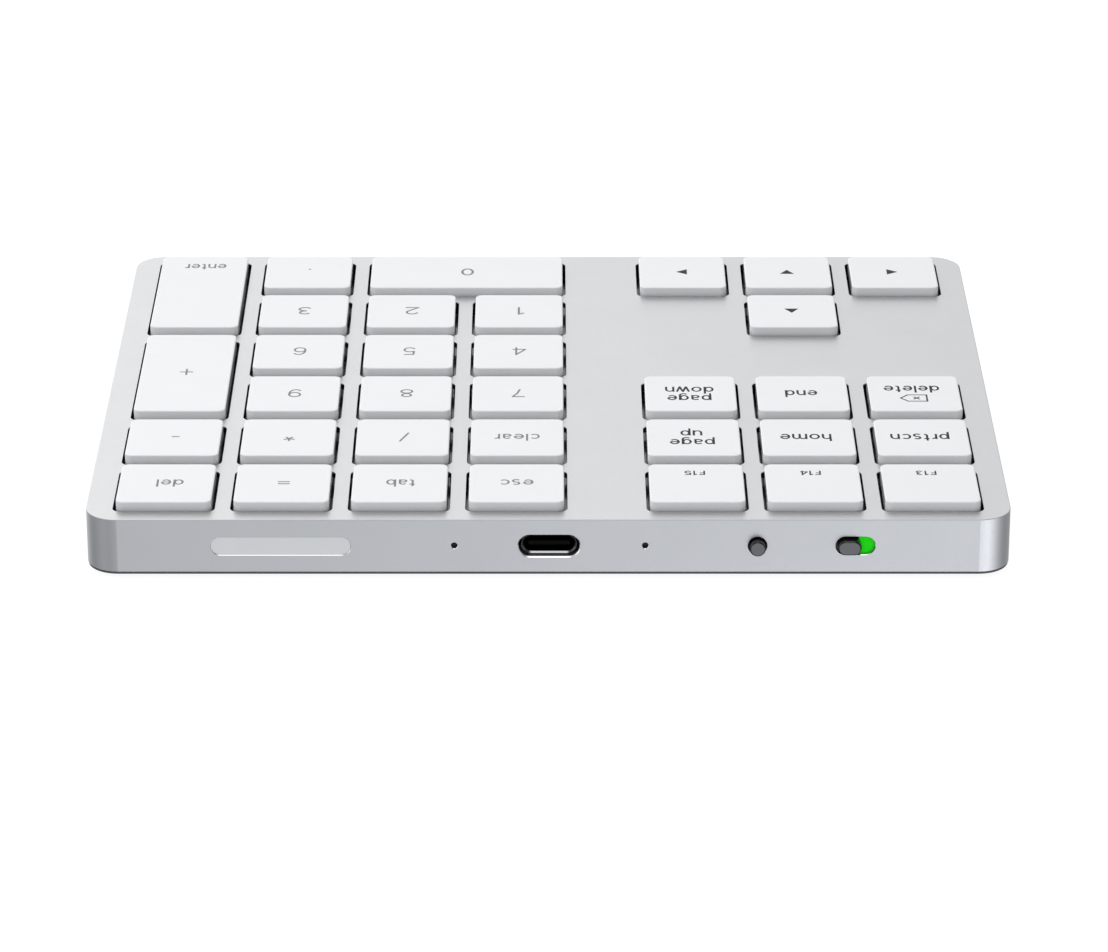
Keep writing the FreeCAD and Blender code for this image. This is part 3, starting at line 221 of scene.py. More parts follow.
def aluminium(name, rgb, rough):
    """Fine blasted metal, coloured near black below the deck inside the case as painted shade for the gaps round the
    keys. The bevels round the rear openings are cut after blasting, and so are bright and smooth.
    """
    k = Look(name, rough, metallic=1.0)
    blasted = k.vary_colour(rgb, 0.012, 9.0, 3.0)
    pos = k.node("ShaderNodeSeparateXYZ")
    k.link(k.coord.outputs["Object"], pos.inputs[0])
    nor = k.node("ShaderNodeSeparateXYZ")
    k.link(k.coord.outputs["Normal"], nor.inputs[0])

    def both(a, b):
        m = k.node("ShaderNodeMath", operation="MULTIPLY")
        k.link(a, m.inputs[0])
        k.link(b, m.inputs[1])
        return m.outputs[0]

    cut = k.step(pos.outputs["Y"], BOX["top_case"][1].y - 0.00030, 0.00002)
    cut = both(cut, k.spread(nor.outputs["Y"], 1.0, 0.0, 0.80, 0.90))
    cut = both(cut, k.step(nor.outputs["Y"], 0.40, 0.05))
    cut = both(cut, k.spread(pos.outputs["Z"], 1.0, 0.0, 0.0085, 0.0088))
    ends = k.node("ShaderNodeMath", operation="ABSOLUTE")
    k.link(pos.outputs["X"], ends.inputs[0])
    cut = both(cut, k.spread(ends.outputs[0], 1.0, 0.0, 0.060, 0.061))
    metal = k.mix(cut, blasted, (0.90, 0.90, 0.91))
    # painted shade: the metal inside the walls and below the deck is coloured near black, standing in for the shade in
    # the gaps round the keys
    gap_shade_mask = k.spread(pos.outputs["Z"], 1.0, 0.0, DECK - 0.00025, DECK - 0.00015)
    gap_shade_mask = both(gap_shade_mask, k.spread(ends.outputs[0], 1.0, 0.0, 0.0722, 0.0724))
    gap_shade_mask = both(gap_shade_mask, k.spread(pos.outputs["Y"], 1.0, 0.0, 0.0562, 0.0564))
    gap_shade_mask = both(gap_shade_mask, k.step(pos.outputs["Y"], -0.0574, 0.0001))
    k.colour(k.mix(gap_shade_mask, metal, (0.035, 0.035, 0.037)))
    grain = k.spread(k.noise(0.6, 4.0), rough - 0.025, rough + 0.025)
    rub = k.node("ShaderNodeMix", data_type="FLOAT")
    k.link(cut, rub.inputs["Factor"])
    k.link(grain, rub.inputs["A"])
    rub.inputs["B"].default_value = 0.12
    k.link(rub.outputs["Result"], k.b.inputs["Roughness"])
    k.bump(k.noise(0.16, 3.0, 0.6), 0.0007, 0.7)
    k.bump(k.noise(0.05, 2.0), 0.00025, 0.6)
    return k.mat


def satin_plastic(name, rgb, rough, share=0.012, grain_mm=0.12, depth_mm=0.0012, specular=0.5, coat=0.0):
    k = Look(name, rough, specular=specular)
    k.vary_colour(rgb, share, 6.0, 3.0)
    k.vary_rough(max(rough - 0.05, 0.05), rough + 0.05, 0.5, 3.0)
    k.bump(k.noise(grain_mm, 3.0, 0.6), depth_mm, 0.6)
    if coat:
        k.b.inputs["Coat Weight"].default_value = coat
        k.b.inputs["Coat Roughness"].default_value = 0.12
    return k.mat


def key_plastic():
    """Satin keycaps. The skirt is coloured a touch darker than the top as painted shade, and its left and right flanks
    are polished by the mould.
    """
    k = Look("key_plastic", 0.46)
    top = k.vary_colour((0.905, 0.91, 0.923), 0.006, 6.0, 3.0)
    nor = k.node("ShaderNodeSeparateXYZ")
    k.link(k.coord.outputs["Normal"], nor.inputs[0])

    def size_of(axis):
        m = k.node("ShaderNodeMath", operation="ABSOLUTE")
        k.link(nor.outputs[axis], m.inputs[0])
        return m.outputs[0]

    # painted shade: faces that are not level, the sides of the cap, are coloured darker than the top
    skirt_painted_shade = k.spread(size_of("Z"), 1.0, 0.0, 0.25, 0.55)
    flank = k.spread(size_of("X"), 0.0, 1.0, 0.80, 0.95)
    k.colour(k.mix(skirt_painted_shade, top, (0.838, 0.843, 0.858)))
    grain = k.spread(k.noise(0.5, 3.0), 0.41, 0.51)
    rub = k.node("ShaderNodeMix", data_type="FLOAT")
    k.link(flank, rub.inputs["Factor"])
    k.link(grain, rub.inputs["A"])
    rub.inputs["B"].default_value = 0.07
    k.link(rub.outputs["Result"], k.b.inputs["Roughness"])
    k.link(k.spread(flank, 0.5, 1.0, 0.0, 1.0), k.b.inputs["Specular IOR Level"])
    k.bump(k.noise(0.11, 3.0, 0.6), 0.0005, 0.6)
    return k.mat


def sheet_steel(name, rgb, rough, along=(4.0, 0.08, 0.08)):
    k = Look(name, rough, metallic=1.0)
    f = k.noise(1.0, 4.0, stretch=along)
    k.colour(k.mix(k.spread(f, 0.0, 1.0), tuple(c * 0.93 for c in rgb), tuple(min(c * 1.05, 1.0) for c in rgb)))
    k.link(k.spread(f, rough - 0.08, rough + 0.08), k.b.inputs["Roughness"])
    k.bump(f, 0.0008, 0.5)
    return k.mat


def two_tone(name, side, face, edge_y, side_rough, face_rough):
    """A black moulding whose outward face, beyond edge_y, is satin grey."""
    k = Look(name, side_rough, specular=0.5)
    y = k.axis("Y")
    f = k.step(y, edge_y, 0.00001)
    grain = k.spread(k.noise(0.25, 3.0), 0.0, 1.0)
    face_colour = k.mix(grain, tuple(c * 0.95 for c in face), tuple(c * 1.05 for c in face))
    k.colour(k.mix(f, side, face_colour))
    k.link(k.spread(f, side_rough, face_rough, 0.0, 1.0), k.b.inputs["Roughness"])
    k.bump(k.noise(0.1, 2.0), 0.0008, 0.4)
    return k.mat


# ---------------------------------------------------------------- materials of the record's slots

def circuit_board():
    k = Look("board_laminate", 0.32, specular=0.5)
    weave = k.noise(1.0, 2.0, stretch=(0.35, 0.35, 5.0))
    mask = k.mix(k.spread(weave, 0.0, 1.0), (0.012, 0.085, 0.035), (0.018, 0.120, 0.050))
    tracks = k.node("ShaderNodeTexBrick")
    tracks.offset = 0.5
    tracks.inputs["Scale"].default_value = 1.0
    tracks.inputs["Mortar Size"].default_value = 0.06
    tracks.inputs["Brick Width"].default_value = 5.0
    tracks.inputs["Row Height"].default_value = 0.55
    tracks.inputs["Color1"].default_value = (0, 0, 0, 1)
    tracks.inputs["Color2"].default_value = (0, 0, 0, 1)
    tracks.inputs["Mortar"].default_value = (1, 1, 1, 1)
    k.link(k.scaled((1000.0, 1000.0, 1000.0)), tracks.inputs["Vector"])
    k.colour(k.mix(tracks.outputs["Color"], mask, (0.03, 0.20, 0.08)))
    k.bump(tracks.outputs["Color"], 0.02, 0.5)
    k.vary_rough(0.26, 0.38, 3.0)
    return k.mat


def membrane_film():
    k = Look("membrane_film", 0.22, specular=0.5)
    lines = k.node("ShaderNodeTexWave", wave_type="BANDS", bands_direction="Y")
    lines.inputs["Scale"].default_value = 0.33
    lines.inputs["Distortion"].default_value = 0.0
    k.link(k.scaled((1000.0, 1000.0, 1000.0)), lines.inputs["Vector"])
    f = k.step(lines.outputs["Fac"], 0.93, 0.02)
    base = k.mix(k.spread(k.noise(12.0, 3.0), 0.0, 1.0), (0.016, 0.017, 0.019), (0.022, 0.023, 0.026))
    k.colour(k.mix(f, base, (0.10, 0.10, 0.11)))
    k.vary_rough(0.18, 0.30, 5.0)
    k.b.inputs["Coat Weight"].default_value = 0.3
    return k.mat


def cell_foil():
    k = Look("cell_foil", 0.38, metallic=1.0)
    k.vary_colour((0.58, 0.59, 0.61), 0.05, 7.0, 3.0)
    k.vary_rough(0.30, 0.46, 2.5, 3.0)
    k.bump(k.noise(6.0, 4.0, 0.6), 0.05, 0.5)
    k.bump(k.noise(0.5, 2.0), 0.004, 0.4)
    return k.mat


def usb_steel():
    """Plated steel; its round ends are coloured dark as painted shade from the rim."""
    k = Look("connector_steel", 0.16, metallic=1.0)
    f = k.noise(1.0, 3.0, stretch=(0.08, 3.0, 0.08))
    plain = k.mix(k.spread(f, 0.0, 1.0), (0.38, 0.38, 0.40), (0.46, 0.46, 0.48))
    low, high = BOX["usb_c_shell"]
    off = k.node("ShaderNodeMath", operation="SUBTRACT")
    k.link(k.axis("X"), off.inputs[0])
    off.inputs[1].default_value = (low.x + high.x) / 2
    ends = k.node("ShaderNodeMath", operation="ABSOLUTE")
    k.link(off.outputs[0], ends.inputs[0])
    # painted shade: beyond 3.1 mm from the middle of the shell, on its round ends, the steel is coloured dark, standing
    # in for the shade of the rim
    k.colour(k.mix(k.step(ends.outputs[0], 0.0031, 0.0002), plain, (0.09, 0.09, 0.10)))
    k.link(k.spread(f, 0.13, 0.20), k.b.inputs["Roughness"])
    k.bump(f, 0.0006, 0.4)
    return k.mat


def usb_tongue():
    """Black insulator; the front half of the tongue carries rows of plated contacts on both faces."""
    k = Look("connector_plastic", 0.5, specular=0.06)
    k.vary_rough(0.44, 0.56, 0.4)
    k.colour(k.mix(k.spread(k.noise(0.8, 3.0), 0.0, 1.0), (0.0015, 0.0015, 0.0017), (0.003, 0.003, 0.0033)))
    k.bump(k.noise(0.1, 2.0), 0.0008, 0.5)
    return k.mat


def dome_rubber():
    k = Look("dome_rubber", 0.42)
    k.vary_colour((0.26, 0.27, 0.275), 0.04, 3.0, 3.0)
    k.vary_rough(0.36, 0.50, 0.7)
    k.bump(k.noise(0.15, 2.0), 0.002, 0.5)
    k.b.inputs["Subsurface Weight"].default_value = 0.25
    k.b.inputs["Subsurface Radius"].default_value = (0.001, 0.001, 0.001)
    k.b.inputs["Subsurface Scale"].default_value = 0.5
    return k.mat


def green_marker():
    """Green paint; next to the nub it is coloured near black as a painted shadow of the nub."""
    k = Look("marker_green", 0.35, specular=0.12)
    green = k.vary_colour((0.014, 0.930, 0.004), 0.04, 1.2, 2.0)
    # painted shadow: within 0.85 mm of the nub end the marker is coloured near black, standing in for the nub's shadow
    edge = BOX["power_on_marker"][1].x - 0.00085
    k.colour(k.mix(k.step(k.axis("X"), edge, 0.00012), green, (0.006, 0.006, 0.007)))
    k.vary_rough(0.30, 0.42, 0.3)
    k.bump(k.noise(0.12, 2.0), 0.001, 0.5)
    return k.mat


def rubber(name, rgb):
    k = Look(name, 0.78, specular=0.35)
    k.vary_colour(rgb, 0.10, 1.5, 3.0)
    k.vary_rough(0.70, 0.86, 0.5)
    k.bump(k.noise(0.22, 4.0, 0.6), 0.010, 0.6)
    return k.mat


def cover_plastic():
    """Spark-textured dark moulding."""
    k = Look("base_cover_plastic", 0.55, specular=0.45)
    k.vary_colour((0.078, 0.088, 0.098), 0.05, 8.0, 3.0)
    k.vary_rough(0.48, 0.62, 0.6, 3.0)
    k.bump(k.noise(0.35, 4.0, 0.65), 0.012, 0.55)
    k.bump(k.noise(0.09, 2.0), 0.003, 0.5)
    return k.mat


BUTTON_FACE_Y = BOX["pairing_button"][1].y - 0.000012
SLIDER_FACE_Y = BOX["power_slider"][1].y - 0.000012

LOOKS = {
    "anodised_aluminium": aluminium("anodised_aluminium", (0.56, 0.565, 0.572), 0.38),
    "base_cover_plastic": cover_plastic(),
    "foot_rubber": rubber("foot_rubber", (0.030, 0.031, 0.034)),
    "screw_steel": sheet_steel("screw_steel", (0.42, 0.42, 0.44), 0.30, (0.15, 0.15, 0.15)),
    "key_plastic": key_plastic(),
    "window_plastic": satin_plastic("window_plastic", (0.74, 0.762, 0.762), 0.42, 0.012, 0.10, 0.0010),
    "plate_steel": satin_plastic("plate_coating", (0.020, 0.020, 0.022), 0.60, 0.08, 0.15, 0.0015, specular=0.12),
    "membrane_film": membrane_film(),
    "dome_rubber": dome_rubber(),
    "scissor_plastic": satin_plastic("scissor_plastic", (0.030, 0.030, 0.033), 0.42, 0.06, 0.15, 0.0015),
    "wire_steel": sheet_steel("wire_steel", (0.58, 0.58, 0.60), 0.18, (3.0, 0.05, 0.05)),
    "connector_steel": usb_steel(),
    "connector_plastic": usb_tongue(),
    "board_laminate": circuit_board(),
    "chip_plastic": satin_plastic("chip_plastic", (0.022, 0.022, 0.024), 0.55, 0.08, 0.10, 0.004),
    "light_guide_plastic": satin_plastic("light_guide_plastic", (0.010, 0.010, 0.011), 0.14, 0.05, 0.20, 0.0005, specular=0.25),
    "switch_steel": sheet_steel("switch_steel", (0.52, 0.52, 0.54), 0.34),
    "button_plastic": two_tone("button_plastic", (0.006, 0.006, 0.007), (0.146, 0.146, 0.153), BUTTON_FACE_Y, 0.16, 0.45),
    "marker_green": green_marker(),
    "cell_foil": cell_foil(),
    "wire_insulation": rubber("wire_insulation", (0.35, 0.02, 0.02)),
}
SLIDER_LOOK = two_tone("slider_plastic", (0.006, 0.006, 0.007), (0.146, 0.146, 0.153), SLIDER_FACE_Y, 0.16, 0.45)
INK_LIGHT = satin_plastic("legend_grey", (0.20, 0.20, 0.21), 0.55, 0.03, 0.2, 0.0006)
INK_DARK = satin_plastic("legend_dark", (0.028, 0.028, 0.031), 0.55, 0.05, 0.2, 0.0006, specular=0.15)

for name, obj in NODES.items():
    look = SLIDER_LOOK if name == "power_slider" else LOOKS[SLOT_OF[name]]
    for s in obj.material_slots:
        s.material = look


# ---------------------------------------------------------------- mesh helpers

def mesh_object(name, verts, faces, body, look, smooth_deg=None):
    me = bpy.data.meshes.new(name)
    me.from_pydata([tuple(v) for v in verts], [], faces)
    me.validate()
    bm = bmesh.new()
    bm.from_mesh(me)
    bmesh.ops.remove_doubles(bm, verts=bm.verts, dist=1e-8)
    bmesh.ops.recalc_face_normals(bm, faces=bm.faces)
    bm.to_mesh(me)
    bm.free()
    ob = bpy.data.objects.new(name, me)
    scene.collection.objects.link(ob)
    me.materials.append(look)
    if smooth_deg is not None:
        me.shade_smooth()
        me.set_sharp_from_angle(angle=math.radians(smooth_deg))
    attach(ob, body)
    return ob


# ---------------------------------------------------------------- legends: an own plain stroke alphabet
# Each glyph is a set of centre lines in a box: lower-case letters have x-height 1, capitals and figures height 1.

def arc(cx, cy, rx, ry, a0, a1, n=None):
    n = n or max(6, int(abs(a1 - a0) / 9))
    return [(cx + rx * math.cos(math.radians(a0 + (a1 - a0) * i / n)),
             cy + ry * math.sin(math.radians(a0 + (a1 - a0) * i / n))) for i in range(n + 1)]


def glyphs_lower(h):
    """Centre lines of the lower-case letters, for a stroke of half width h, with x-height 1. Returns {char: (width, [lines])}."""
    asc, top, mid = 1.40, 1.0 - h, 0.5
    bowl = arc(0.44, mid, 0.44 - h, mid - h, 0, 360, 40)
    arch = lambda x0, x1: arc((x0 + x1) / 2, 0.58, (x1 - x0) / 2, 0.42 - h, 180, 0, 20)
    g = {}
    g["o"] = (0.92, [arc(0.46, mid, 0.46 - h, mid - h, 0, 360, 40)])
    g["c"] = (0.82, [arc(0.45, mid, 0.45 - h, mid - h, 45, 315, 34)])
    g["e"] = (0.88, [[(h, 0.50), (0.88 - h, 0.50)], arc(0.44, mid, 0.44 - h, mid - h, 0, 322, 38)])
    g["d"] = (0.88, [arc(0.42, mid, 0.42 - h, mid - h, 0, 360, 40), [(0.88 - h, 0.0), (0.88 - h, asc)]])
    g["b"] = (0.88, [arc(0.46, mid, 0.42 - h, mid - h, 0, 360, 40), [(h, 0.0), (h, asc)]])
    g["p"] = (0.88, [arc(0.46, mid, 0.42 - h, mid - h, 0, 360, 40), [(h, -0.38), (h, 1.0)]])
    g["g"] = (0.88, [arc(0.42, mid, 0.42 - h, mid - h, 0, 360, 40),
                     [(0.88 - h, 1.0), (0.88 - h, 0.02)] + arc(0.45, 0.02, 0.43 - h, 0.40 - h, 0, -140, 20)[1:]])
    g["a"] = (0.80, [arc(0.38, 0.66, 0.36 - h, 0.34 - h, 150, 0, 18)[:-1] + [(0.74 - h, 0.62), (0.74 - h, 0.0)],
                     arc(0.36, 0.29, 0.36 - h, 0.29 - h, 90, 270, 20) + arc(0.40, 0.29, 0.34 - h, 0.29 - h, -90, 0, 10)[1:],
                     [(0.36, 0.58 - h), (0.74 - h, 0.58 - h)]])
    g["h"] = (0.82, [[(h, 0.0), (h, asc)], arch(h, 0.82 - h) + [(0.82 - h, 0.0)]])
    g["n"] = (0.82, [[(h, 0.0), (h, 1.0)], arch(h, 0.82 - h) + [(0.82 - h, 0.0)]])
    g["m"] = (1.32, [[(h, 0.0), (h, 1.0)], arch(h, 0.66) + [(0.66, 0.0)], arch(0.66, 1.32 - h) + [(1.32 - h, 0.0)]])
    g["u"] = (0.82, [[(0.82 - h, 1.0), (0.82 - h, 0.0)],
                     [(h, 1.0)] + arc(0.41, 0.42, 0.41 - h, 0.42 - h, 180, 360, 20)])
    g["r"] = (0.50, [[(h, 0.0), (h, 1.0)], arc(0.46, 0.52, 0.46 - h, 0.48 - h, 180, 88, 12)])
    g["l"] = (2 * h, [[(h, 0.0), (h, asc)]])
    g["t"] = (0.50, [[(0.20, 1.30), (0.20, 0.26)] + arc(0.42, 0.26, 0.22, 0.26 - h, 180, 280, 12)[1:], [(0.0, top), (0.48, top)]])
    g["s"] = (0.74, [arc(0.37, 0.735, 0.33 - h, 0.265 - h / 2, 28, 262, 22) + arc(0.38, 0.255, 0.36 - h, 0.255 - h / 2 + 0.02, 82, -152, 22)])
    g["w"] = (1.16, [[(0.03, 1.0), (0.30, 0.0)], [(0.30, 0.0), (0.58, 0.97)], [(0.58, 0.97), (0.86, 0.0)], [(0.86, 0.0), (1.13, 1.0)]])
    return g


def glyphs_tall(h):
    """Centre lines of figures, signs and capitals, height 1."""
    g = {}
    g["0"] = (0.62, [arc(0.31, 0.5, 0.31 - h, 0.5 - h, 0, 360, 44)])
    g["1"] = (0.34, [[(0.34 - h, 0.0), (0.34 - h, 1.0)], [(0.34 - h, 0.985), (0.02, 0.80)]])
    g["2"] = (0.60, [arc(0.30, 0.70, 0.29 - h, 0.30 - h, 165, -32, 24) + [(0.03, h)], [(0.0, h), (0.60, h)]])
    g["3"] = (0.60, [arc(0.29, 0.745, 0.27 - h, 0.255 - h, 155, -90, 26), arc(0.29, 0.275, 0.31 - h, 0.275 - h, 90, -155, 28),
                     [(0.20, 0.52), (0.30, 0.52)]])
    g["4"] = (0.64, [[(0.46, 0.0), (0.46, 1.0)], [(0.47, 0.98), (0.02, 0.26)], [(0.0, 0.26), (0.64, 0.26)]])
    g["5"] = (0.60, [[(0.10, 1 - h), (0.55, 1 - h)], [(0.12, 1.0), (0.075, 0.50)], arc(0.29, 0.32, 0.31 - h, 0.32 - h, 140, -155, 32)])
    g["6"] = (0.62, [arc(0.31, 0.32, 0.31 - h, 0.32 - h, 0, 360, 40), arc(0.36, 0.44, 0.36 - h, 0.56 - h, 190, 45, 24)])
    g["7"] = (0.60, [[(0.0, 1 - h), (0.60, 1 - h)], [(0.585, 1 - h), (0.36, 0.52), (0.24, 0.0)]])
    g["8"] = (0.62, [arc(0.31, 0.755, 0.265 - h, 0.245 - h, 0, 360, 36), arc(0.31, 0.27, 0.31 - h, 0.27 - h, 0, 360, 40)])
    g["9"] = (0.62, [[(0.62 - x, 1.0 - y) for x, y in line] for line in g["6"][1]])
    g["F"] = (0.52, [[(h, 0.0), (h, 1.0)], [(h, 1 - h), (0.52, 1 - h)], [(h, 0.52), (0.45, 0.52)]])
    g["/"] = (0.44, [[(0.02, -0.03), (0.42, 1.04)]])
    g["*"] = (0.52, [[(0.26, 0.72), (0.26 + 0.27 * math.sin(math.radians(a)), 0.72 + 0.27 * math.cos(math.radians(a)))] for a in (0, 72, 144, 216, 288)])
    g["-"] = (0.36, [[(0.0, 0.45), (0.36, 0.45)]])
    g["+"] = (0.62, [[(0.0, 0.5), (0.62, 0.5)], [(0.31, 0.10), (0.31, 0.90)]])
    g["="] = (0.54, [[(0.0, 0.38), (0.54, 0.38)], [(0.0, 0.62), (0.54, 0.62)]])
    g["."] = (0.12, [[(0.06, 0.07), (0.061, 0.07)]])
    return g


def outline(line, half, round_ends=False):
    """Polygon of a centre line thickened by half on each side, mitred at its turns."""
    pts = [Vector(p) for p in line]
    closed = (pts[0] - pts[-1]).length < 1e-6
    if closed:
        pts = pts[:-1]
    n = len(pts)
    left, right = [], []
    for i, p in enumerate(pts):
        a = pts[(i - 1) % n] if closed or i > 0 else None
        b = pts[(i + 1) % n] if closed or i < n - 1 else None
        d0 = (p - a).normalized() if a is not None else None
        d1 = (b - p).normalized() if b is not None else None
        t = (d0 + d1).normalized() if d0 is not None and d1 is not None else (d0 or d1)
        side = Vector((-t.y, t.x))
        k = 1.0
        if d0 is not None and d1 is not None:
            c = side.dot(Vector((-d0.y, d0.x)))
            k = min(1.0 / max(c, 0.3), 1.6)
        left.append(p + side * half * k)
        right.append(p - side * half * k)
    if closed:
        return [left, right]
    return [left + right[::-1]]


def disc(p, r, n=16):
    return [Vector((p[0] + r * math.cos(2 * math.pi * i / n), p[1] + r * math.sin(2 * math.pi * i / n))) for i in range(n)]


def inside(poly, x, y):
    hit = False
    j = len(poly) - 1
    for i in range(len(poly)):
        xi, yi = poly[i]
        xj, yj = poly[j]
        if (yi > y) != (yj > y) and x < (xj - xi) * (y - yi) / (yj - yi) + xi:
            hit = not hit
        j = i
    return hit


def text_shapes(text, tall, size, half, width=None, stretch=1.0):
    """Shapes of a word, its baseline at y = 0 and its middle at x = 0, in mm. A shape is a list of rings; a point is in it by even-odd."""
    table = glyphs_tall(half / size) if tall else glyphs_lower(half / size)
    gap = 0.20 if not tall else 0.16
    widths = [table[c][0] for c in text]
    natural = sum(widths) + gap * (len(text) - 1)
    sx = stretch
    if width:
        sx = (width / size) / natural
    shapes = []
    x = -natural * sx / 2
    for c, w in zip(text, widths):
        for line in table[c][1]:
            pts = [((x + px * sx) * size, py * size) for px, py in line]
            if len(line) == 2 and c == ".":
                shapes.append([disc(pts[0], half * 1.35)])
                continue
            shapes.append(outline(pts, half))
        if c == "w":
            for p in ((0.30, 0.0), (0.86, 0.0), (0.58, 0.97)):
                shapes.append([disc(((x + p[0] * sx) * size, p[1] * size), half)])
        if c == "4":
            shapes.append([disc(((x + 0.465 * sx) * size, 0.985 * size), half)])
            shapes.append([disc(((x + 0.02 * sx) * size, 0.26 * size), half)])
        if c == "7":
            shapes.append([disc(((x + 0.585 * sx) * size, size - half), half)])
        if c == "1":
            shapes.append([disc(((x + (0.34 - half / size) * sx) * size, 0.985 * size), half)])
        if c == "2":
            shapes.append([disc(((x + 0.03 * sx) * size, half), half)])
        x += (w + gap) * sx
    return shapes


def legend_mesh(shapes, dx, dy, z0, z1):
    """Union of the shapes as one closed flat solid: verts and faces, in metres."""
    verts, faces = [], []
    rings = []
    for sh in shapes:
        for ring in sh:
            start = len(verts)
            verts += [Vector((p[0], p[1])) for p in ring]
            rings.append((start, len(ring)))
    edges = []
    for start, n in rings:
        edges += [(start + i, start + (i + 1) % n) for i in range(n)]
    v2, _, tris, _, _, _ = geometry.delaunay_2d_cdt(verts, edges, [], 0, 1e-5)
    keep = []
    for t in tris:
        cx = sum(v2[i].x for i in t) / len(t)
        cy = sum(v2[i].y for i in t) / len(t)
        for sh in shapes:
            odd = False
            for ring in sh:
                if inside([(p[0], p[1]) for p in ring], cx, cy):
                    odd = not odd
            if odd:
                keep.append(tuple(t))
                break
    used = sorted({i for t in keep for i in t})
    at = {i: k for k, i in enumerate(used)}
    n = len(used)
    top = [((v2[i].x + dx) * MM, (v2[i].y + dy) * MM, z1) for i in used]
    low = [((v2[i].x + dx) * MM, (v2[i].y + dy) * MM, z0) for i in used]
    count = {}
    for t in keep:
        a = sum((v2[t[k]].x * v2[t[(k + 1) % len(t)]].y - v2[t[(k + 1) % len(t)]].x * v2[t[k]].y) for k in range(len(t)))
        t = t if a > 0 else t[::-1]
        faces.append(tuple(at[i] for i in t))
        faces.append(tuple(at[i] + n for i in reversed(t)))
        for k in range(len(t)):
            e = (at[t[k]], at[t[(k + 1) % len(t)]])
            count[e] = count.get(e, 0) + 1
    for (a, b) in list(count):
        if (b, a) not in count:
            faces.append((a, a + n, b + n, b))
    return top + low, faces


def arrow(direction):
    """A solid triangle, 2.1 mm wide and 1.75 mm deep, that points along direction."""
    w, d = 1.28, 0.98
    pts = {"up": [(-w, -d), (w, -d), (0, d)], "down": [(w, d), (-w, d), (0, -d)],
           "left": [(d, -w), (d, w), (-d, 0)], "right": [(-d, w), (-d, -w), (d, 0)]}[direction]
    return [[[Vector(p) for p in pts]]]


def forward_delete():
    """A flag-shaped frame that points right, with a small cross in it."""
    x0, x1, x2, hh, h = -2.2, 1.0, 2.25, 1.38, 0.14
    ring = [(x0, -hh), (x1, -hh), (x2, 0), (x1, hh), (x0, hh), (x0, -hh)]
    pts = [Vector(p) for p in ring]
    shapes = [outline([tuple(p) for p in pts], h)]
    c, s = -0.45, 0.52
    shapes.append(outline([(c - s, -s), (c + s, s)], h))
    shapes.append(outline([(c - s, s), (c + s, -s)], h))
    return shapes


N_HALF, V_HALF, S_HALF = 0.170, 0.185, 0.130
DIGIT, SMALL = 3.40, 2.05

LEGENDS = {}
DX = {"1": -0.38, "/": -0.20, "-": -0.20}
STRETCH = {"2": 1.18, "3": 1.18, "0": 1.10}
BOLD = {"0": 0.205, "1": 0.185, "2": 0.185, "3": 0.185}
for key, d in [("key_" + c, c) for c in "0123456789"] + [("key_divide", "/"), ("key_multiply", "*"), ("key_minus", "-"),
                                                         ("key_plus", "+"), ("key_equals", "=")]:
    LEGENDS[key] = [(text_shapes(d, True, DIGIT, BOLD.get(d, N_HALF), stretch=STRETCH.get(d, 1.05)), DX.get(d, -0.12), -DIGIT / 2)]
LEGENDS["key_decimal"] = [(text_shapes(".", True, DIGIT, N_HALF), -0.12, -DIGIT / 2 + 0.12)]
for key, word, width, dx in (("key_esc", "esc", 5.45, -0.02), ("key_tab", "tab", 4.65, -0.12),
                             ("key_delete_back", "del", 4.35, -0.60), ("key_clear", "clear", 7.55, 0.04)):
    LEGENDS[key] = [(text_shapes(word, False, SMALL, N_HALF, width), dx, -1.32)]
LEGENDS["key_enter"] = [(text_shapes("enter", False, SMALL, N_HALF, 7.45), -0.20, -13.5)]
for key, word, width, dx in (("key_print_screen", "prtscn", 9.75, 0.35), ("key_home", "home", 8.5, 0.33), ("key_end", "end", 5.4, 0.2)):
    LEGENDS[key] = [(text_shapes(word, False, 2.15, V_HALF, width), dx, -1.30)]
for key, word, width, dx in (("key_page_up", "up", 3.6, 0.32), ("key_page_down", "down", 8.2, 0.15)):
    LEGENDS[key] = [(text_shapes("page", False, 2.15, V_HALF, 7.45), 0.25, 0.88),
                    (text_shapes(word, False, 2.15, V_HALF, width), dx, -2.82)]
LEGENDS["key_forward_delete"] = [(text_shapes("delete", False, 2.15, V_HALF, 9.4), 0.35, -3.30), (forward_delete(), 0.2, 2.14)]
for k, dx in (("13", 0.38), ("14", 0.27), ("15", 0.20)):
    LEGENDS["key_f" + k] = [(text_shapes("F" + k, True, 1.70, S_HALF, 3.38), dx, -4.90)]
for k in ("up", "down", "left", "right"):
    LEGENDS["key_arrow_" + k] = [(arrow(k), 0.12, -0.05)]

for key in KEYS:
    lo, hi = BOX[key]
    cx, cy = (lo.x + hi.x) / 2 / MM, (lo.y + hi.y) / 2 / MM
    nav = cx < -10
    look = INK_DARK if nav else INK_LIGHT
    verts, faces = [], []
    for shapes, dx, dy in LEGENDS[key]:
        v, f = legend_mesh(shapes, cx + dx, cy + dy, KEY_TOP - 0.012 * MM, KEY_TOP + 0.008 * MM)
        faces += [tuple(i + len(verts) for i in t) for t in f]
        verts += v
    mesh_object(key.replace("key_", "legend_"), verts, faces, key, look)


# ---------------------------------------------------------------- the parts under the keys, one set for each key

def cell_of(x, y):
    for key in KEYS:
        lo, hi = BOX[key]
        if lo.x - 0.0018 <= x <= hi.x + 0.0018 and lo.y - 0.0018 <= y <= hi.y + 0.0018:
            return key
    return None


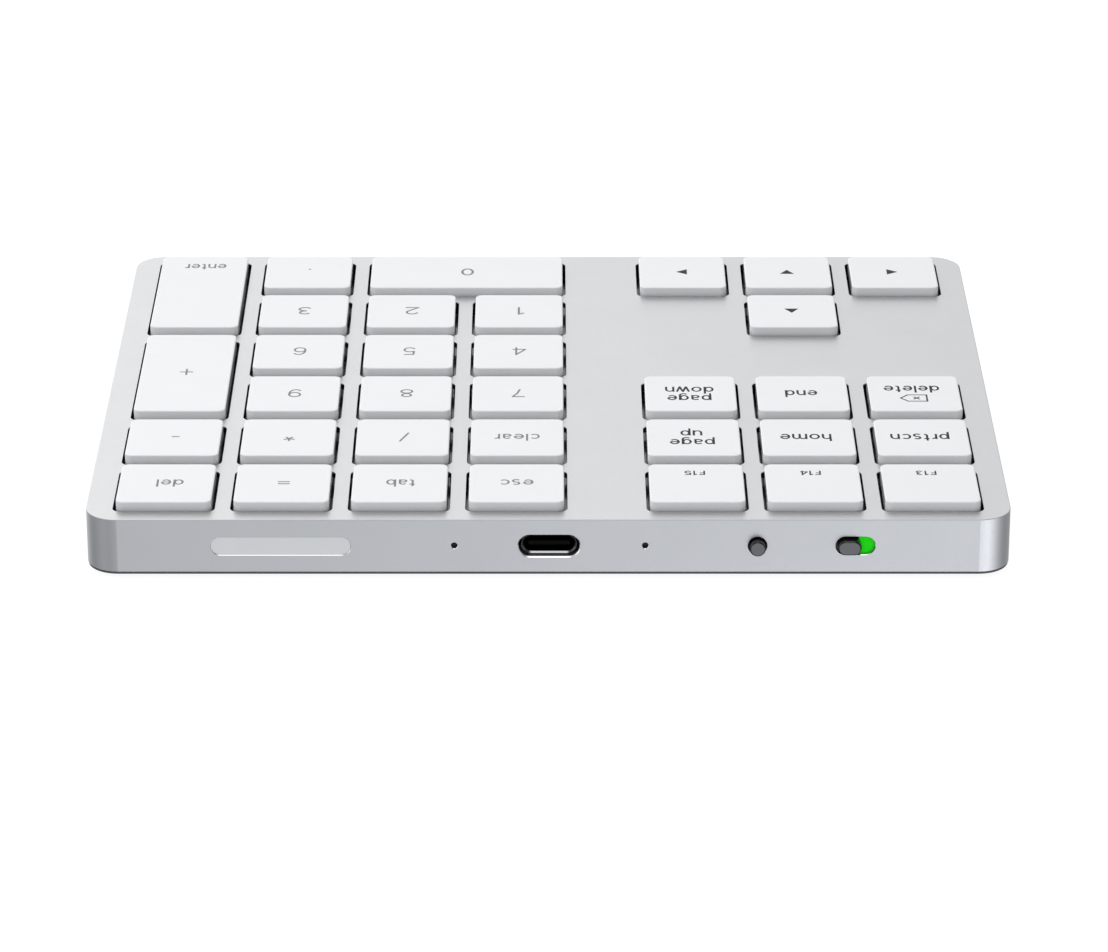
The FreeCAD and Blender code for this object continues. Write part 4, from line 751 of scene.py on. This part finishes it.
def split_by_key(node, prefix, smooth_deg):
    me = NODES[node].data
    co = np.zeros(len(me.vertices) * 3)
    me.vertices.foreach_get("co", co)
    co = co.reshape(-1, 3)
    groups = {}
    for p in me.polygons:
        vs = list(p.vertices)
        c = co[vs].mean(0)
        groups.setdefault(cell_of(c[0], c[1]), []).append(vs)
    if None in groups:
        raise RuntimeError(f"{node}: {len(groups[None])} faces lie under no key")
    for key, polys in sorted(groups.items()):
        ids = sorted({i for vs in polys for i in vs})
        at = {i: k for k, i in enumerate(ids)}
        ob = mesh_object(prefix + key.replace("key_", "_"), co[ids], [tuple(at[i] for i in vs) for vs in polys],
                         "case", LOOKS[SLOT_OF[node]], smooth_deg)
        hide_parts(node)
        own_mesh(ob)


split_by_key("rubber_domes", "dome", 40)
split_by_key("scissor_outer_frames", "scissor_outer", 30)
split_by_key("scissor_inner_frames", "scissor_inner", 30)
split_by_key("stabiliser_bars", "stabiliser", 50)


# ---------------------------------------------------------------- stage and light

def stage_mesh(name, verts, faces, look):
    me = bpy.data.meshes.new(name)
    me.from_pydata(verts, [], faces)
    ob = bpy.data.objects.new(name, me)
    scene.collection.objects.link(ob)
    me.materials.append(look)
    for flag in ("visible_diffuse", "visible_glossy", "visible_transmission", "visible_volume_scatter", "visible_shadow"):
        setattr(ob, flag, False)
    return ob


def white_stage():
    m = bpy.data.materials.new("stage_white")
    m.use_nodes = True
    nt = m.node_tree
    nt.nodes.clear()
    out = nt.nodes.new("ShaderNodeOutputMaterial")
    add = nt.nodes.new("ShaderNodeAddShader")
    em = nt.nodes.new("ShaderNodeEmission")
    em.inputs["Color"].default_value = (1, 1, 1, 1)
    em.inputs["Strength"].default_value = 0.93
    di = nt.nodes.new("ShaderNodeBsdfDiffuse")
    di.inputs["Color"].default_value = (0.16, 0.16, 0.16, 1)
    nt.links.new(em.outputs[0], add.inputs[0])
    nt.links.new(di.outputs[0], add.inputs[1])
    nt.links.new(add.outputs[0], out.inputs["Surface"])
    return m


WHITE = white_stage()
stage_mesh("floor", [(-4, -4, 0), (4, -4, 0), (4, 4, 0), (-4, 4, 0)], [(0, 1, 2, 3)], WHITE)


def backdrop():
    """A plain white drum round the floor, so that low views end in white."""
    n, r = 48, 4.0
    v = [(r * math.cos(2 * math.pi * i / n), r * math.sin(2 * math.pi * i / n), z) for z in (-0.05, 4.0) for i in range(n)]
    f = [(i, (i + 1) % n, (i + 1) % n + n, i + n) for i in range(n)]
    m = bpy.data.materials.new("backdrop_white")
    m.use_nodes = True
    nt = m.node_tree
    nt.nodes.clear()
    out = nt.nodes.new("ShaderNodeOutputMaterial")
    em = nt.nodes.new("ShaderNodeEmission")
    em.inputs["Strength"].default_value = 1.1
    nt.links.new(em.outputs[0], out.inputs["Surface"])
    return stage_mesh("backdrop", v, f, m)


backdrop()

# The studio, a surround of broad soft panels: elevation of the ring, width as 1/e half angle, then azimuth (from +Y towards +X) and strength
PANELS = [
    (-25, 26, [(25, 0.19), (-25, 1.92), (60, 0.39), (-60, 0.69), (100, 0.11), (-100, 0.18), (140, 0.62), (-140, 0.33), (180, 0.54)]),
    (15, 26, [(0, 0.09), (40, 0.92), (-40, 0.58), (85, 0.94), (-85, 0.37), (-130, 0.57), (155, 1.26), (180, 0.30)]),
    (45, 26, [(0, 0.26), (60, 0.12), (120, 1.28), (-120, 0.35), (180, 0.98)]),
    (66, 18, [(0, 1.40)]),
    (90, 26, [(0, 0.16)]),
]
LOW_TINT, HIGH_TINT = (0.967, 0.992, 1.041), (0.997, 0.998, 1.005)


def studio():
    w = bpy.data.worlds.new("studio")
    scene.world = w
    w.use_nodes = True
    nt = w.node_tree
    nt.nodes.clear()
    out = nt.nodes.new("ShaderNodeOutputWorld")
    bg = nt.nodes.new("ShaderNodeBackground")
    tc = nt.nodes.new("ShaderNodeTexCoord")
    nt.links.new(bg.outputs[0], out.inputs["Surface"])

    def math_node(operation, a, b, c=None):
        n = nt.nodes.new("ShaderNodeMath")
        n.operation = operation
        for i, v in enumerate((a, b, c)):
            if isinstance(v, (int, float)):
                n.inputs[i].default_value = v
            elif v is not None:
                nt.links.new(v, n.inputs[i])
        return n.outputs[0]

    last = 0.0
    for el, wide, ring in PANELS:
        k = 1.0 / (1.0 - math.cos(math.radians(wide)))
        e = math.radians(el)
        for az, strength in ring:
            a = math.radians(az)
            dot = nt.nodes.new("ShaderNodeVectorMath")
            dot.operation = "DOT_PRODUCT"
            nt.links.new(tc.outputs["Generated"], dot.inputs[0])
            dot.inputs[1].default_value = (math.sin(a) * math.cos(e), math.cos(a) * math.cos(e), math.sin(e))
            near = math_node("EXPONENT", math_node("MULTIPLY_ADD", dot.outputs["Value"], k, -k), 0.0)
            last = math_node("MULTIPLY_ADD", near, strength, last)
    nt.links.new(last, bg.inputs["Strength"])

    # slightly bluer from below than from above
    sep = nt.nodes.new("ShaderNodeSeparateXYZ")
    nt.links.new(tc.outputs["Generated"], sep.inputs[0])
    up = nt.nodes.new("ShaderNodeMapRange")
    up.inputs["From Min"].default_value = -0.4
    up.inputs["From Max"].default_value = 0.2
    nt.links.new(sep.outputs["Z"], up.inputs["Value"])
    tint = nt.nodes.new("ShaderNodeMix")
    tint.data_type = "RGBA"
    nt.links.new(up.outputs["Result"], tint.inputs["Factor"])
    col_a = [q for q in tint.inputs if q.name == "A" and q.type == "RGBA"][0]
    col_b = [q for q in tint.inputs if q.name == "B" and q.type == "RGBA"][0]
    col_a.default_value = (*LOW_TINT, 1.0)
    col_b.default_value = (*HIGH_TINT, 1.0)
    nt.links.new([q for q in tint.outputs if q.type == "RGBA"][0], bg.inputs["Color"])

    # one round soft lamp above the +X side, near enough to fall off across the keys
    lamp = bpy.data.lights.new("soft_lamp", "AREA")
    lamp.shape = "DISK"
    lamp.size = 0.2
    lamp.energy = 0.202
    ob = bpy.data.objects.new("soft_lamp", lamp)
    ob.location = (0.16, 0.04, 0.36)
    ob.rotation_euler = (-ob.location).to_track_quat("-Z", "Y").to_euler()
    ob.visible_camera = False
    scene.collection.objects.link(ob)


studio()
scene.view_settings.view_transform = "Standard"
scene.view_settings.look = "None"
scene.view_settings.exposure = 0.0
scene.view_settings.gamma = 1.0
